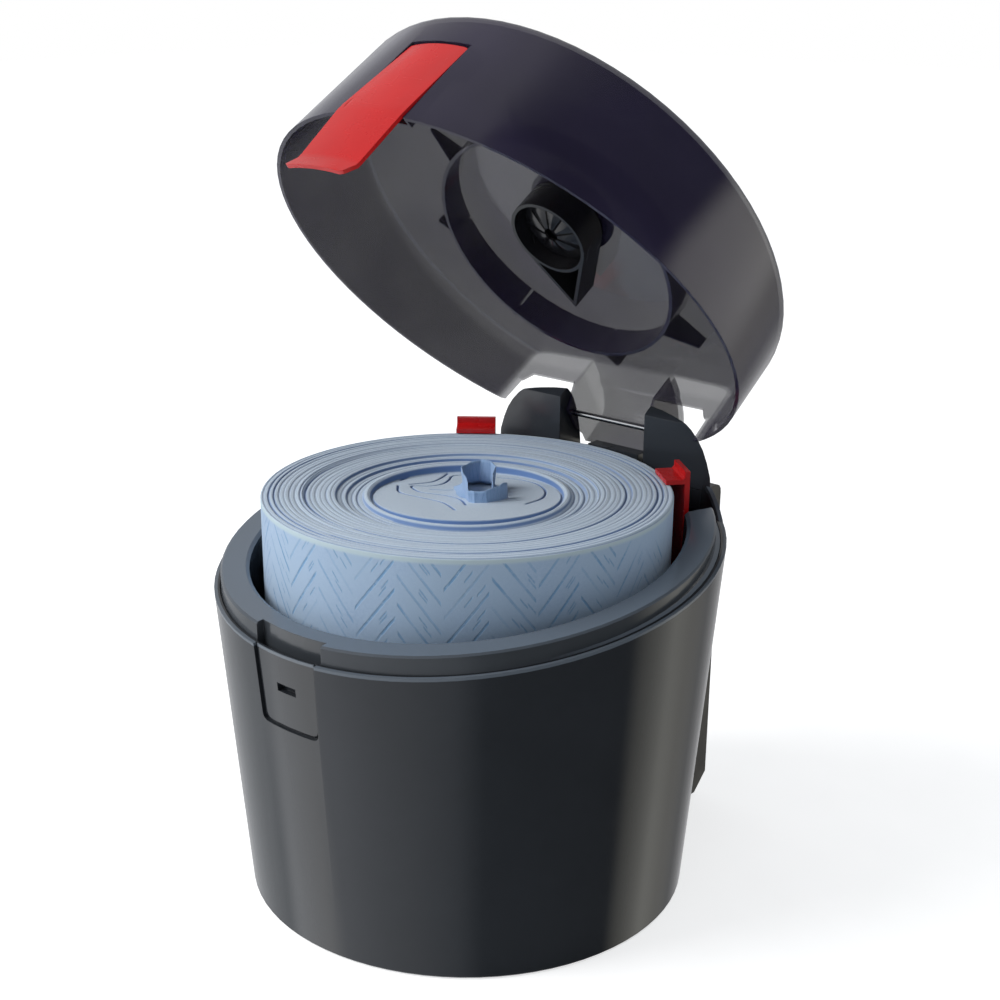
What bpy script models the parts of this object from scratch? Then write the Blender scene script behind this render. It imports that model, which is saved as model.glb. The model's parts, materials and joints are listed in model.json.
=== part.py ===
"""Centrefeed roll dispenser with a hinged lid, shown open with a roll of wipes in it.

Metres, +Z up, front towards -Y. The origin is the centre of the flat bottom.
The lid's own pieces are drawn as they lie when it is closed, then turned open about the hinge rod.
"""
import math

import bmesh
import bpy
from mathutils import Matrix, Vector

# Clearances and cutting allowances
seat_gap = 0.0003
swing_gap = 0.0009
overrun = 0.006
round_steps = 80
small_steps = 20

# Roll of wipes
roll_radius = 0.1000
roll_length = 0.1850
roll_foot_height = 0.01933
roll_top_height = roll_foot_height + roll_length
roll_turns = 14
roll_steps_per_turn = 40
roll_groove_depth = 0.0009
roll_groove_share = 0.22
roll_core_radius = 0.0260
roll_core_depth = 0.0025
roll_step_radius = 0.0480
roll_step_width = 0.0050
roll_step_drop = 0.0022
roll_dish_drop = 0.0065

# Tail of the first wipe, standing in the middle of the roll
tail_thickness = 0.0011
tail_height = 0.0175
tail_steps = 3
tail_flare_share = 0.06
# Its way round the middle: two places as shares of the core's radius, and the height of its free edge
tail_way_shares = (
    (0.60, 0.23, 0.75), (0.31, 0.50, 0.80), (0.23, 0.73, 0.97), (0.04, 0.79, 1.00), (-0.19, 0.69, 1.00),
    (-0.33, 0.48, 0.97), (-0.35, 0.29, 0.93), (-0.12, 0.04, 0.90), (0.19, -0.15, 0.90), (0.29, -0.23, 0.80),
    (0.38, -0.33, 0.52), (0.54, -0.31, 0.51), (0.67, -0.12, 0.55), (0.73, 0.19, 0.60), (0.75, 0.42, 0.64))

# Bucket
foot_room = 0.01166
foot_radius = roll_radius + foot_room
wall_taper_share = 0.078
bucket_wall = 0.0028
bucket_floor = 0.0030
foot_chamfer = 0.0012
lip_drop = 0.03157
lip_height = roll_top_height - lip_drop
lip_slope_share = 0.142
mouth_radius = foot_radius + wall_taper_share * lip_height
deck_drop = 0.00913
deck_height = roll_top_height - deck_drop
deck_depth = 0.0140
block_base = 0.0029
ring_seat_width = 0.0090
ring_seat_height = 0.0080
ring_seat_count = 9
ring_seat_span_share = 0.9

# Liner ring round the roll
ring_ledge = 0.0045
ring_radius = mouth_radius - ring_ledge
ring_width = 0.0140
ring_inner_radius = ring_radius - ring_width
ring_rise = 0.0085
ring_edge = 0.0009
ring_inner_bevel = 0.0018
ring_skirt_depth = 0.0120
ring_liner_depth = 0.0360
ring_liner_draft = 0.0014
ring_wall = 0.0021
ring_notch_half_width = 0.0209
ring_notch_depth = 0.0039
ring_notch_radius = ring_radius - ring_notch_depth
ring_bridge_angle = 12.5
ring_end_angle = 138.5
ring_hollow_end_angle = 130.5
ring_end_inset = 0.0336
ring_end_depth = ring_inner_radius - ring_end_inset
ring_end_reach_share = 0.25
ring_end_flare_share = 0.85

# Support under the roll
rest_plate = 0.0022
rest_wall = 0.0024
rest_hub_radius = 0.0260
rest_hole_radius = 0.0110
rest_rib_count = 8

# Hinge
hinge_inset = 0.00867
hinge_y = mouth_radius - hinge_inset
hinge_rise = 0.0190
hinge_z = deck_height + hinge_rise
rod_radius = 0.0016
rod_half_length = 0.0360
ear_inner_x = 0.0279
ear_outer_x = 0.0700
ear_front_reach = 0.0154
ear_height = hinge_z + ear_front_reach
ear_shoulder_overhang = 0.00136
ear_shoulder_radius = mouth_radius + ear_shoulder_overhang
ear_shoulder_rise = 0.0048
ear_shoulder_height = deck_height + ear_shoulder_rise
ear_crown_inset = 0.0040
ear_crown_radius = hinge_y - ear_crown_inset
ear_bend_inset = 0.00264
ear_bend_radius = mouth_radius - ear_bend_inset
ear_bend_drop = 0.0036
ear_bend_height = ear_height - ear_bend_drop
ring_end_room = 0.0070
ring_end_half_width = ear_outer_x + ring_end_room
deck_front_inset = 0.0111
deck_front = hinge_y - deck_front_inset
ramp_length = 0.0174
ramp_foot = deck_front - ramp_length
cap_radius = 0.0036
cap_length = 0.0022
stop_block_height = 0.0053
stop_block_inset = 0.0045
stop_block_front = hinge_y - stop_block_inset
stop_block_depth = 0.0080
stop_block_edges = (-0.0135, 0.0005, 0.0200)
screw_radius = 0.0015
screw_head_radius = 0.0034
screw_head_height = 0.0022
screw_length = 0.0220
screw_x = (0.0340, 0.0460)
screw_inset = 0.0070
screw_y = hinge_y - screw_inset

# Roll clips
clip_angle = 39.4
clip_half_width = 0.0105
clip_pivot_room = 0.0118
clip_pivot_radius = roll_radius + clip_pivot_room
clip_pivot_height = 0.1200
clip_arm_room = 0.0060
clip_arm_inner = roll_radius + clip_arm_room
clip_arm_thickness = 0.0025
clip_top_rise = 0.00667
clip_top_height = roll_top_height + clip_top_rise
clip_hook_reach = 0.0035
clip_hook_tip = roll_radius - clip_hook_reach
clip_hook_thickness = 0.0023
clip_barrel_radius = 0.0036
clip_barrel_half_width = 0.0060
clip_foot_drop = 0.0060
clip_pin_radius = 0.0011
carrier_cheek = 0.0024
carrier_back = 0.0018
carrier_room = 0.0068
carrier_inner_radius = roll_radius + carrier_room
carrier_rise = 0.0070
carrier_drop = 0.0080
spring_wire = 0.0004
spring_coil_radius = 0.00175
spring_turns = 3
spring_points_per_turn = 8
spring_end_gap = 0.0008
weld_share = 0.01

# Wall bracket
bracket_half_width = 0.0520
bracket_room = 0.01836
bracket_back = mouth_radius + bracket_room
bracket_foot = 0.0040
bracket_drop = 0.0107
bracket_top = deck_height - bracket_drop
bracket_wall = 0.0028
bracket_rib = 0.0022
bracket_chamfer = 0.0100
bracket_corner = 0.0050
bracket_columns = 3
bracket_rows = 5
keyhole_radius = 0.0050
keyhole_slot_radius = 0.0026
keyhole_slot_length = 0.0100
lug_half_width = 0.0060
lug_reach = 0.0090
lug_thickness = 0.0030
lug_drop = 0.0070

# Lid, drawn closed
lid_open_angle = 57.44
lid_wall = 0.0018
lid_top_wall = 0.0022
lid_ring_gap = 0.0009
lid_radius = ring_radius + lid_ring_gap + lid_wall
lid_radius_drop = 0.00476
lid_radius_height = lip_height - lid_radius_drop
lid_draft_share = 0.031
lid_rim_rise = 0.00834
lid_rim_height = lip_height + lid_rim_rise
lid_rim_slope_share = 0.208
lid_headroom = 0.03117
lid_top_height = roll_top_height + lid_headroom
lid_top_slope_share = 0.048
lid_dome = 0.0060
lid_shoulder = 0.0052
lid_shoulder_steps = 4
lid_dome_ring_shares = (0.66, 0.33)
pocket_inset = 0.0131
pocket_front = hinge_y - pocket_inset
pocket_inner_x = ear_inner_x - swing_gap
panel_low_rise = 0.0090
panel_low_height = hinge_z + panel_low_rise
panel_end_rise = 0.0033
panel_end_height = hinge_z + panel_end_rise
panel_bend_inset = 0.0140
panel_bend_x = ear_outer_x - panel_bend_inset
panel_end_inset = 0.0100
panel_end_x = ear_outer_x - panel_end_inset
tongue_reach = 0.0209
tongue_back = hinge_y + tongue_reach
tongue_corner_rise = 0.0128
tongue_corner_height = hinge_z + tongue_corner_rise
tongue_corner_inset = 0.0149
tongue_slope_drop = 0.0045
tongue_rear_lift = 0.00121
tongue_bend_inset = 0.00104
tongue_edge_inset = 0.00125
tongue_low_drop = 0.0010
tongue_low_height = hinge_z - tongue_low_drop
cheek_low_drop = 0.0046
cheek_low_height = hinge_z - cheek_low_drop
cheek_front_inset = 0.0065
cheek_front_y = hinge_y - cheek_front_inset
cheek_rear_reach = 0.0075
cheek_rear_y = hinge_y + cheek_rear_reach
rod_hole_radius = 0.0020

# Guide ring and gussets under the lid
guide_y = 0.0070
guide_radius = 0.0670
guide_wall = 0.0018
guide_depth = 0.0145
guide_low_height = lid_top_height - guide_depth
gusset_count = 8
gusset_thickness = 0.0016
gusset_length = 0.0190
gusset_depth = 0.0115
gusset_low_height = lid_top_height - gusset_depth
gusset_end_depth = 0.0040

# Feed nozzle in the lid
nozzle_y = -0.0020
nozzle_radius = 0.0210
nozzle_wall = 0.0018
nozzle_reach = 0.0437
nozzle_seat_drop = 0.0021
nozzle_top_height = lid_top_height + lid_dome - lid_top_wall - nozzle_seat_drop
nozzle_depth = 0.0166
nozzle_low_height = nozzle_top_height - nozzle_depth
nozzle_plate = 0.0020
neck_inset = 0.0040
neck_radius = nozzle_radius - neck_inset
neck_wall = 0.0020
neck_rise = 0.0078
neck_top_height = nozzle_top_height + neck_rise
collar_width = 0.0065
collar_radius = neck_radius + collar_width
collar_thickness = 0.0020
collar_rise = 0.0048
collar_height = nozzle_top_height + collar_rise

# Star-shaped crown across the cup: petals round a small hole
crown_wall = 0.0012
crown_tip_radius = 0.0037
crown_tip_rise = 0.0028
crown_depth = 0.0056
crown_petal_count = 8
crown_petal_swell = 0.0014
crown_slit_width = 0.0009
crown_slit_inset = 0.0040
crown_row_shares = (0.0, 0.3, 0.65, 1.0)
crown_steps = 32

# Latch lever in the lid's front
latch_pivot_inset = 0.0055
latch_pivot_y = latch_pivot_inset - lid_radius
latch_pivot_rise = 0.0189
latch_pivot_z = lid_rim_height + latch_pivot_rise
latch_thickness = 0.0018
latch_top_rise = 0.0067
latch_top_z = latch_pivot_z + latch_top_rise
latch_bend_drop = 0.01526
latch_bend_z = lip_height - latch_bend_drop
latch_crease_drop = 0.04656
latch_crease_z = lip_height - latch_crease_drop
latch_tip_drop = 0.0092
latch_tip_z = latch_crease_z - latch_tip_drop
latch_top_inset = 0.0017
latch_top_y = latch_top_inset - lid_radius
latch_bend_reach = 0.0014
latch_bend_y = -latch_bend_reach - lid_radius
latch_crease_inset = 0.0004
latch_crease_y = latch_crease_inset - lid_radius
latch_tip_reach = 0.0024
latch_tip_y = -latch_tip_reach - lid_radius
latch_top_half_width = 0.0168
latch_bend_half_width = 0.0189
latch_crease_half_width = 0.0178
latch_tip_half_width = 0.0172
latch_crown = 0.0013
latch_corner = 0.0020
latch_barrel_radius = 0.0026
latch_barrel_inner = 0.0060
latch_barrel_outer = 0.0158
latch_pin_radius = 0.0011
latch_hook_half_width = 0.0054
latch_hook_drop = 0.03586
latch_hook_low = lip_height - latch_hook_drop
latch_hook_height = 0.0022
latch_hook_high = latch_hook_low + latch_hook_height
latch_hook_inset = 0.0037
latch_hook_tip = lid_radius - latch_hook_inset
latch_tab_inner = 0.0090
latch_tab_outer = 0.0165
latch_tab_drop = 0.01616
latch_tab_low = lip_height - latch_tab_drop
latch_tab_height = 0.0084
latch_tab_high = latch_tab_low + latch_tab_height
latch_tab_inset = 0.0038
latch_tab_tip = lid_radius - latch_tab_inset
latch_spring_length = 0.0096
recess_depth = 0.0040
recess_floor_radius = lid_radius - recess_depth
recess_clearance = 0.0004
recess_wall = 0.0012
latch_pocket_depth = 0.0098
latch_pocket_radius = lid_radius - latch_pocket_depth
latch_pocket_drop = 0.0045
latch_pocket_low = latch_pivot_z - latch_pocket_drop
latch_swing_room = 0.0006
latch_boss_radius = 0.0036
latch_boss_outer = 0.0212

# Seat of the latch on the bucket's front
panel_depth = 0.0013
panel_top_half_width = 0.0207
panel_foot_half_width = 0.0187
panel_foot_rise = 0.0004
panel_foot_height = latch_tip_z + panel_foot_rise
panel_corner = 0.0040
panel_groove_width = 0.0012
panel_groove_depth = 0.0008
catch_side_room = 0.0006
catch_half_width = latch_hook_half_width + catch_side_room
catch_foot_height = latch_hook_low - swing_gap
catch_top_height = latch_hook_high + swing_gap
catch_depth = 0.0048
pad_half_width = 0.0235
pad_top_rise = 0.0024
pad_foot_drop = 0.0240
pad_foot_height = catch_foot_height - pad_foot_drop
pad_top_height = catch_top_height + pad_top_rise
pad_thickness = 0.0034

# Colours: red, green, blue, then roughness and metallic value
colours = {
    "shell_grey": ((0.055, 0.062, 0.075), 0.28, 0.0),
    "ring_grey": ((0.050, 0.056, 0.068), 0.25, 0.0),
    "lid_smoke": ((0.060, 0.058, 0.068), 0.20, 0.0),
    "signal_red": ((0.600, 0.030, 0.028), 0.32, 0.0),
    "nozzle_black": ((0.012, 0.012, 0.014), 0.40, 0.0),
    "steel": ((0.560, 0.570, 0.580), 0.30, 1.0),
    "bracket_black": ((0.020, 0.021, 0.023), 0.45, 0.0),
    "wipe_blue": ((0.420, 0.530, 0.680), 0.90, 0.0),
    "support_grey": ((0.060, 0.064, 0.070), 0.50, 0.0),
}


def clear_scene():
    """Remove what the open file holds."""
    for item in list(bpy.data.objects):
        bpy.data.objects.remove(item, do_unlink=True)


def make_materials():
    """One Principled material for each colour."""
    made = {}
    for name, (colour, roughness, metallic) in colours.items():
        material = bpy.data.materials.new(name)
        material.use_nodes = True
        shader = material.node_tree.nodes["Principled BSDF"]
        shader.inputs["Base Color"].default_value = (*colour, 1.0)
        shader.inputs["Roughness"].default_value = roughness
        shader.inputs["Metallic"].default_value = metallic
        made[name] = material
    return made


# Shape helpers


def make_solid(name, vertices, faces):
    """An object from points and faces, with its faces turned outwards."""
    mesh = bpy.data.meshes.new(name)
    mesh.from_pydata([tuple(point) for point in vertices], [], faces)
    work = bmesh.new()
    work.from_mesh(mesh)
    bmesh.ops.recalc_face_normals(work, faces=work.faces)
    work.to_mesh(mesh)
    work.free()
    solid = bpy.data.objects.new(name, mesh)
    bpy.context.scene.collection.objects.link(solid)
    return solid


def loft(name, loops):
    """A closed solid through loops of equal count, capped at both ends."""
    count = len(loops[0])
    vertices = [point for loop in loops for point in loop]
    faces = []
    for row in range(len(loops) - 1):
        low = row * count
        high = low + count
        for i in range(count):
            j = (i + 1) % count
            faces.append((low + i, low + j, high + j, high + i))
    last = (len(loops) - 1) * count
    faces.append(tuple(range(count)))
    faces.append(tuple(range(last, last + count)))
    return make_solid(name, vertices, faces)


def prism(name, outline, axis, low, high):
    """A flat outline carried along X, Y or Z. Its points are the two other axes, in order."""
    place = {
        "X": lambda u, v, t: (t, u, v),
        "Y": lambda u, v, t: (u, t, v),
        "Z": lambda u, v, t: (u, v, t),
    }[axis]
    return loft(name, [[place(u, v, t) for u, v in outline] for t in (low, high)])


def box(name, xs, ys, zs):
    """A block between two corners."""
    outline = [(xs[0], ys[0]), (xs[1], ys[0]), (xs[1], ys[1]), (xs[0], ys[1])]
    return prism(name, outline, "Z", zs[0], zs[1])


def round_outline(centre, radius, steps):
    """The points of a circle."""
    turns = [math.tau * i / steps for i in range(steps)]
    return [(centre[0] + radius * math.cos(t), centre[1] + radius * math.sin(t)) for t in turns]


def rod(name, centre, radius, axis, low, high, steps=small_steps):
    """A cylinder along X, Y or Z."""
    return prism(name, round_outline(centre, radius, steps), axis, low, high)


def combine(target, tool, operation):
    """Apply one Boolean to the target and remove the tool."""
    modifier = target.modifiers.new("combine", "BOOLEAN")
    modifier.operation = operation
    modifier.solver = "EXACT"
    modifier.object = tool
    graph = bpy.context.evaluated_depsgraph_get()
    mesh = bpy.data.meshes.new_from_object(target.evaluated_get(graph))
    target.modifiers.clear()
    target.data = mesh
    bpy.data.objects.remove(tool, do_unlink=True)
    return target


def cut(target, tool):
    """Take the tool's volume away."""
    return combine(target, tool, "DIFFERENCE")


def fuse(target, tool):
    """Add the tool's volume."""
    return combine(target, tool, "UNION")


def keep(target, tool):
    """Keep only what lies in the tool's volume."""
    return combine(target, tool, "INTERSECT")


def polar(radius, angle, height):
    """A point by its radius and its angle from the front."""
    return Vector((radius * math.sin(angle), -radius * math.cos(angle), height))


def full_turn(steps=round_steps):
    """The angles of one full turn."""
    return [math.tau * i / steps for i in range(steps)]


def bezier(start, bend, end, steps):
    """Points along a quadratic curve."""
    points = []
    for i in range(steps + 1):
        t = i / steps
        points.append(tuple(
            (1 - t) ** 2 * a + 2 * t * (1 - t) * b + t ** 2 * c for a, b, c in zip(start, bend, end)))
    return points


def dress(solid, material, materials, parent=None):
    """Give a finished piece its material, its shading and its parent."""
    solid.data.materials.clear()
    solid.data.materials.append(materials[material])
    solid.data.name = solid.name
    solid.data.shade_smooth()
    solid.data.set_sharp_from_angle(angle=math.radians(32))
    if parent is not None:
        solid.data.transform(Matrix.Translation(-Vector(parent["drawn_at"])))
        solid.parent = parent
    return solid


def coil(name, centre_x, centre_y, centre_z, length):
    """A wire coil round an axis along X."""
    curve = bpy.data.curves.new(name, "CURVE")
    curve.dimensions = "3D"
    curve.bevel_depth = spring_wire
    curve.bevel_resolution = 1
    curve.use_fill_caps = True
    spline = curve.splines.new("POLY")
    count = spring_turns * spring_points_per_turn
    spline.points.add(count)
    for i in range(count + 1):
        turn = math.tau * i / spring_points_per_turn
        x = centre_x + length * (i / count - 0.5)
        y = centre_y + spring_coil_radius * math.cos(turn)
        z = centre_z + spring_coil_radius * math.sin(turn)
        spline.points[i].co = (x, y, z, 1)
    shape = bpy.data.objects.new(name, curve)
    bpy.context.scene.collection.objects.link(shape)
    graph = bpy.context.evaluated_depsgraph_get()
    mesh = bpy.data.meshes.new_from_object(shape.evaluated_get(graph))
    bpy.data.objects.remove(shape, do_unlink=True)
    work = bmesh.new()
    work.from_mesh(mesh)
    bmesh.ops.remove_doubles(work, verts=work.verts, dist=spring_wire * weld_share)
    bmesh.ops.recalc_face_normals(work, faces=work.faces)
    work.to_mesh(mesh)
    work.free()
    solid = bpy.data.objects.new(name, mesh)
    bpy.context.scene.collection.objects.link(solid)
    return solid


# Surfaces that pieces share


def cone_radius(height):
    """Outer radius of the bucket at a height."""
    return foot_radius + wall_taper_share * height


def lip_level(y):
    """Height of the bucket's lip, which falls towards the front."""
    return lip_height + lip_slope_share * y


def lip_radius(angle):
    """Outer radius of the bucket where its lip lies at an angle from the front."""
    lean = lip_slope_share * math.cos(angle)
    height = (lip_height - lean * foot_radius) / (1 + lean * wall_taper_share)
    return cone_radius(height)


def bucket_cone(name, low, high, inset):
    """The bucket's cone between two heights, its radius less an inset."""
    loops = [[polar(cone_radius(z) - inset, a, z) for a in full_turn()] for z in (low, high)]
    return loft(name, loops)


def lid_wall_radius(height):
    """Outer radius of the closed lid's skirt at a height."""
    return lid_radius - lid_draft_share * (height - lid_radius_height)


def lid_rim_level(angle, drop=0.0):
    """Height of the closed lid's rim at an angle from the front."""
    lean = lid_rim_slope_share * math.cos(angle)
    reach = lid_radius + lid_draft_share * lid_radius_height
    return (lid_rim_height - drop - lean * reach) / (1 - lean * lid_draft_share)


def lid_crown_level(radius, angle):
    """Height of the closed lid's top at a radius and an angle from the front."""
    edge = lid_radius - lid_shoulder
    slope = lid_top_height - lid_top_slope_share * radius * math.cos(angle)
    return slope + lid_dome * (1 - (radius / edge) ** 2)


def lid_volume(name, wall, top_wall, drop):
    """The closed lid's outer form, drawn in by a wall, its rim lowered by a drop."""
    angles = full_turn()
    loops = [[], []]
    loops += [[] for _ in range(lid_shoulder_steps)]
    loops += [[] for _ in lid_dome_ring_shares]
    bend = lid_shoulder - wall
    for angle in angles:
        rim = lid_rim_level(angle, drop)
        loops[0].append(polar(lid_wall_radius(rim) - wall, angle, rim))
        crown = lid_crown_level(lid_radius - lid_shoulder, angle) - top_wall
        turn_height = crown - bend
        edge = lid_wall_radius(turn_height) - wall
        centre = edge - bend
        for step in range(lid_shoulder_steps + 1):
            swing = math.radians(90) * step / lid_shoulder_steps
            radius = centre + bend * math.cos(swing)
            height = turn_height + bend * math.sin(swing)
            loops[1 + step].append(polar(radius, angle, height))
        for row, share in enumerate(lid_dome_ring_shares):
            radius = centre * share
            height = lid_crown_level(radius, angle) - top_wall
            loops[2 + lid_shoulder_steps + row].append(polar(radius, angle, height))
    return loft(name, loops)


# Roll and its tail


def roll_top_level(radius, top):
    """Height of the roll's upper face: a step, then a dish towards the middle."""
    if radius > roll_step_radius + roll_step_width:
        return top
    if radius > roll_step_radius:
        share = (roll_step_radius + roll_step_width - radius) / roll_step_width
        return top - roll_step_drop * share
    share = (roll_step_radius - radius) / (roll_step_radius - roll_core_radius)
    return top - roll_step_drop - (roll_dish_drop - roll_step_drop) * share ** 1.5


def make_roll(roll_foot):
    """The roll as one wound body, with a spiral groove between its turns."""
    top = roll_foot + roll_length
    pitch = (roll_radius - roll_core_radius) / roll_turns
    per_turn = roll_steps_per_turn
    last = per_turn * roll_turns
    vertices = []
    faces = []

    def row(share, drop, count):
        """Points of the spiral at a share of its pitch."""
        first = len(vertices)
        for i in range(count):
            radius = roll_core_radius + pitch * (i / per_turn + share)
            level = roll_top_level(radius, top) - drop
            vertices.append(polar(radius, math.tau * i / per_turn, level))
        return first

    groove = row(0, roll_groove_depth, last + 1)
    crest_in = row(roll_groove_share, 0, last - per_turn + 1)
    crest_out = row(1 - roll_groove_share, 0, last - per_turn + 1)
    for i in range(last - per_turn):
        faces.append((groove + i, groove + i + 1, crest_in + i + 1, crest_in + i))
        faces.append((crest_in + i, crest_in + i + 1, crest_out + i + 1, crest_out + i))
        after = groove + i + per_turn
        faces.append((crest_out + i, crest_out + i + 1, after + 1, after))
    # Outer face: the last turn runs out to the full radius
    rim = len(vertices)
    foot = rim + per_turn
    for i in range(per_turn):
        vertices.append(polar(roll_radius, math.tau * i / per_turn, top - roll_groove_depth))
    for i in range(per_turn):
        vertices.append(polar(roll_radius, math.tau * i / per_turn, roll_foot))
    start = groove + last - per_turn
    seam = len(vertices) - 2 * per_turn
    for i in range(per_turn - 1):
        faces.append((start + i, start + i + 1, rim + i + 1, rim + i))
    faces.append((start + per_turn - 1, seam, rim + per_turn - 1))
    faces.append((start, crest_in + last - per_turn, crest_out + last - per_turn, seam))
    for i in range(per_turn):
        j = (i + 1) % per_turn
        faces.append((rim + i, rim + j, foot + j, foot + i))
    faces.append(tuple(foot + i for i in range(per_turn)))
    # Inner hole: the first turn's edge carried down to the dish floor
    mouth = [groove + i for i in range(per_turn + 1)] + [crest_out, crest_in]
    sunk = len(vertices)
    floor = top - roll_dish_drop - roll_core_depth
    for point in mouth:
        vertices.append(Vector((vertices[point][0], vertices[point][1], floor)))
    for i in range(len(mouth)):
        j = (i + 1) % len(mouth)
        faces.append((mouth[i], mouth[j], sunk + j, sunk + i))
    faces.append(tuple(sunk + i for i in range(len(mouth))))
    # The spiral's last point and the rim's first point are one corner
    joined = groove + last
    faces = [tuple(rim if point == joined else point for point in face) for face in faces]
    used = sorted({point for face in faces for point in face})
    order = {point: i for i, point in enumerate(used)}
    return make_solid(
        "wipe_roll",
        [vertices[point] for point in used],
        [tuple(order[point] for point in face) for face in faces])


def tail_way():
    """Points along the tail's upper edge, a smooth curve through its shares."""
    reach = roll_core_radius
    places = [Vector((x * reach, y * reach, high * tail_height)) for x, y, high in tail_way_shares]
    ends = [places[0] * 2 - places[1]] + places + [places[-1] * 2 - places[-2]]
    points = []
    for before, start, end, after in zip(ends, ends[1:], ends[2:], ends[3:]):
        for step in range(tail_steps):
            t = step / tail_steps
            points.append((
                start * 2 + (end - before) * t + (before * 2 - start * 5 + end * 4 - after) * t ** 2
                + (start * 3 - before - end * 3 + after) * t ** 3) / 2)
    return points + [places[-1]]


def make_tail(roll_foot):
    """The pulled end of the first wipe: a folded band that stands in the roll's middle."""
    foot = roll_foot + roll_length - roll_dish_drop - roll_core_depth + seat_gap
    way = tail_way()
    loops = []
    for i, point in enumerate(way):
        ahead = way[min(i + 1, len(way) - 1)] - way[max(i - 1, 0)]
        across = Vector((-ahead.y, ahead.x, 0)).normalized() * tail_thickness / 2
        low = Vector((point.x, point.y, foot))
        high = Vector((point.x, point.y, 0)) * (1 + tail_flare_share) + Vector((0, 0, foot + point.z))
        loops.append([low - across, low + across, high + across, high - across])
    return loft("roll_tail", loops)


# Bucket and the pieces fixed in it


def front_outline(inset):
    """Outline of the latch's seat on the bucket's front, drawn in by an inset."""
    top = lip_height + overrun
    low = panel_foot_height + inset
    half_top = panel_top_half_width - inset
    half_low = panel_foot_half_width - inset
    corner = panel_corner
    right = bezier((half_low - corner, low), (half_low, low), (half_low, low + corner), 5)
    left = [(-x, z) for x, z in reversed(right)]
    return right + [(half_top, top), (-half_top, top)] + left


def front_cutter(name, inset, depth):
    """Cuts the latch's seat to a depth below the bucket's skin."""
    tool = prism(name, front_outline(inset), "Y", -cone_radius(deck_height) - overrun, 0)
    return cut(tool, bucket_cone("core", -overrun, deck_height + overrun, depth))


def make_bucket():
    """The tapered bucket with its sloping lip, rear deck, latch seat and bracket lugs."""
    high = deck_height + overrun
    profile = [(foot_radius - foot_chamfer, 0), (cone_radius(foot_chamfer), foot_chamfer)]
    profile.append((cone_radius(high), high))
    bucket = loft("bucket_shell", [[polar(r, a, z) for a in full_turn()] for r, z in profile])
    reach = cone_radius(high) + overrun
    block_foot = deck_height - block_base - seat_gap
    above = [
        (-reach, lip_level(-reach)),
        (ramp_foot, lip_level(ramp_foot)),
        (deck_front - seat_gap, deck_height),
        (deck_front - seat_gap, block_foot),
        (reach, block_foot),
        (reach, high + overrun),
        (-reach, high + overrun),
    ]
    cut(bucket, prism("above", above, "X", -reach, reach))
    hollow = bucket_cone("hollow", bucket_floor, high, bucket_wall)
    deck_under = deck_height - deck_depth
    cut(hollow, box("deck", (-reach, reach), (deck_front, reach), (deck_under, high + overrun)))
    cut(bucket, hollow)
    # Thick pad behind the catch
    pad = box("pad", (-pad_half_width, pad_half_width), (-reach, 0), (pad_foot_height, pad_top_height))
    keep(pad, bucket_cone("skin", 0, high, bucket_wall / 2))
    cut(pad, bucket_cone("inside", -overrun, high, bucket_wall + pad_thickness))
    fuse(bucket, pad)
    # Ledges that the liner ring's skirt rests on
    for i in range(ring_seat_count):
        angle = math.radians(ring_end_angle * ring_seat_span_share) * (2 * (i + 0.5) / ring_seat_count - 1)
        if abs(math.degrees(angle)) < ring_bridge_angle:
            continue
        outer = lip_radius(angle) - bucket_wall / 2
        inner = outer - ring_wall - bucket_wall
        level = lip_level(-outer * math.cos(angle)) - ring_skirt_depth
        half = ring_seat_width / 2
        seat = box("seat", (-half, half), (-outer, -inner), (level - ring_seat_height, level + overrun))
        seat.data.transform(Matrix.Rotation(angle, 4, "Z"))
        keep(seat, bucket_cone("skin", 0, high, bucket_wall / 2))
        drop = ring_skirt_depth + seat_gap
        skirt = [(y, lip_level(y) - drop) for y in (-reach, reach)] + [(reach, high * 2), (-reach, high * 2)]
        cut(seat, prism("skirt", skirt, "X", -reach, reach))
        fuse(bucket, seat)
    cut(bucket, front_cutter("panel", 0, panel_depth))
    groove = front_cutter("groove", 0, panel_depth + panel_groove_depth)
    inner = prism("inner", front_outline(panel_groove_width), "Y", -reach, overrun)
    cut(bucket, cut(groove, inner))
    catch = box(
        "catch", (-catch_half_width, catch_half_width),
        (-reach, catch_depth - cone_radius(catch_top_height)), (catch_foot_height, catch_top_height))
    cut(bucket, catch)
    for side in (-1, 1):
        fuse(bucket, make_lug(side))
    # Holes for the hinge block's screws, driven from below
    for x in screw_places():
        hole = rod("hole", (x, screw_y), screw_radius + seat_gap, "Z", deck_under - overrun, high)
        cut(bucket, hole)
    return bucket


def lug_level():
    """Height of the bracket rib that the bucket hangs on."""
    pitch = (bracket_top - bracket_foot) / bracket_rows
    return bracket_foot + pitch * (bracket_rows - 1)


def lug_centre():
    """Sideways place of the bucket's lugs, in the middle of the bracket's outer columns."""
    return bracket_half_width * (bracket_columns - 1) / bracket_columns


def make_lug(side):
    """A hook on the bucket's back that hangs over a rib of the bracket."""
    level = lug_level() + bracket_rib / 2 + seat_gap
    centre = side * lug_centre()
    skin = math.sqrt(cone_radius(level) ** 2 - (abs(centre) + lug_half_width) ** 2)
    start = skin - bucket_wall / 2
    end = skin + lug_reach + lug_thickness
    outline = [
        (start, level), (end - lug_thickness, level), (end - lug_thickness, level - lug_drop),
        (end, level - lug_drop), (end, level + lug_thickness), (start, level + lug_thickness)]
    return prism("lug", outline, "X", centre - lug_half_width, centre + lug_half_width)


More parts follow.
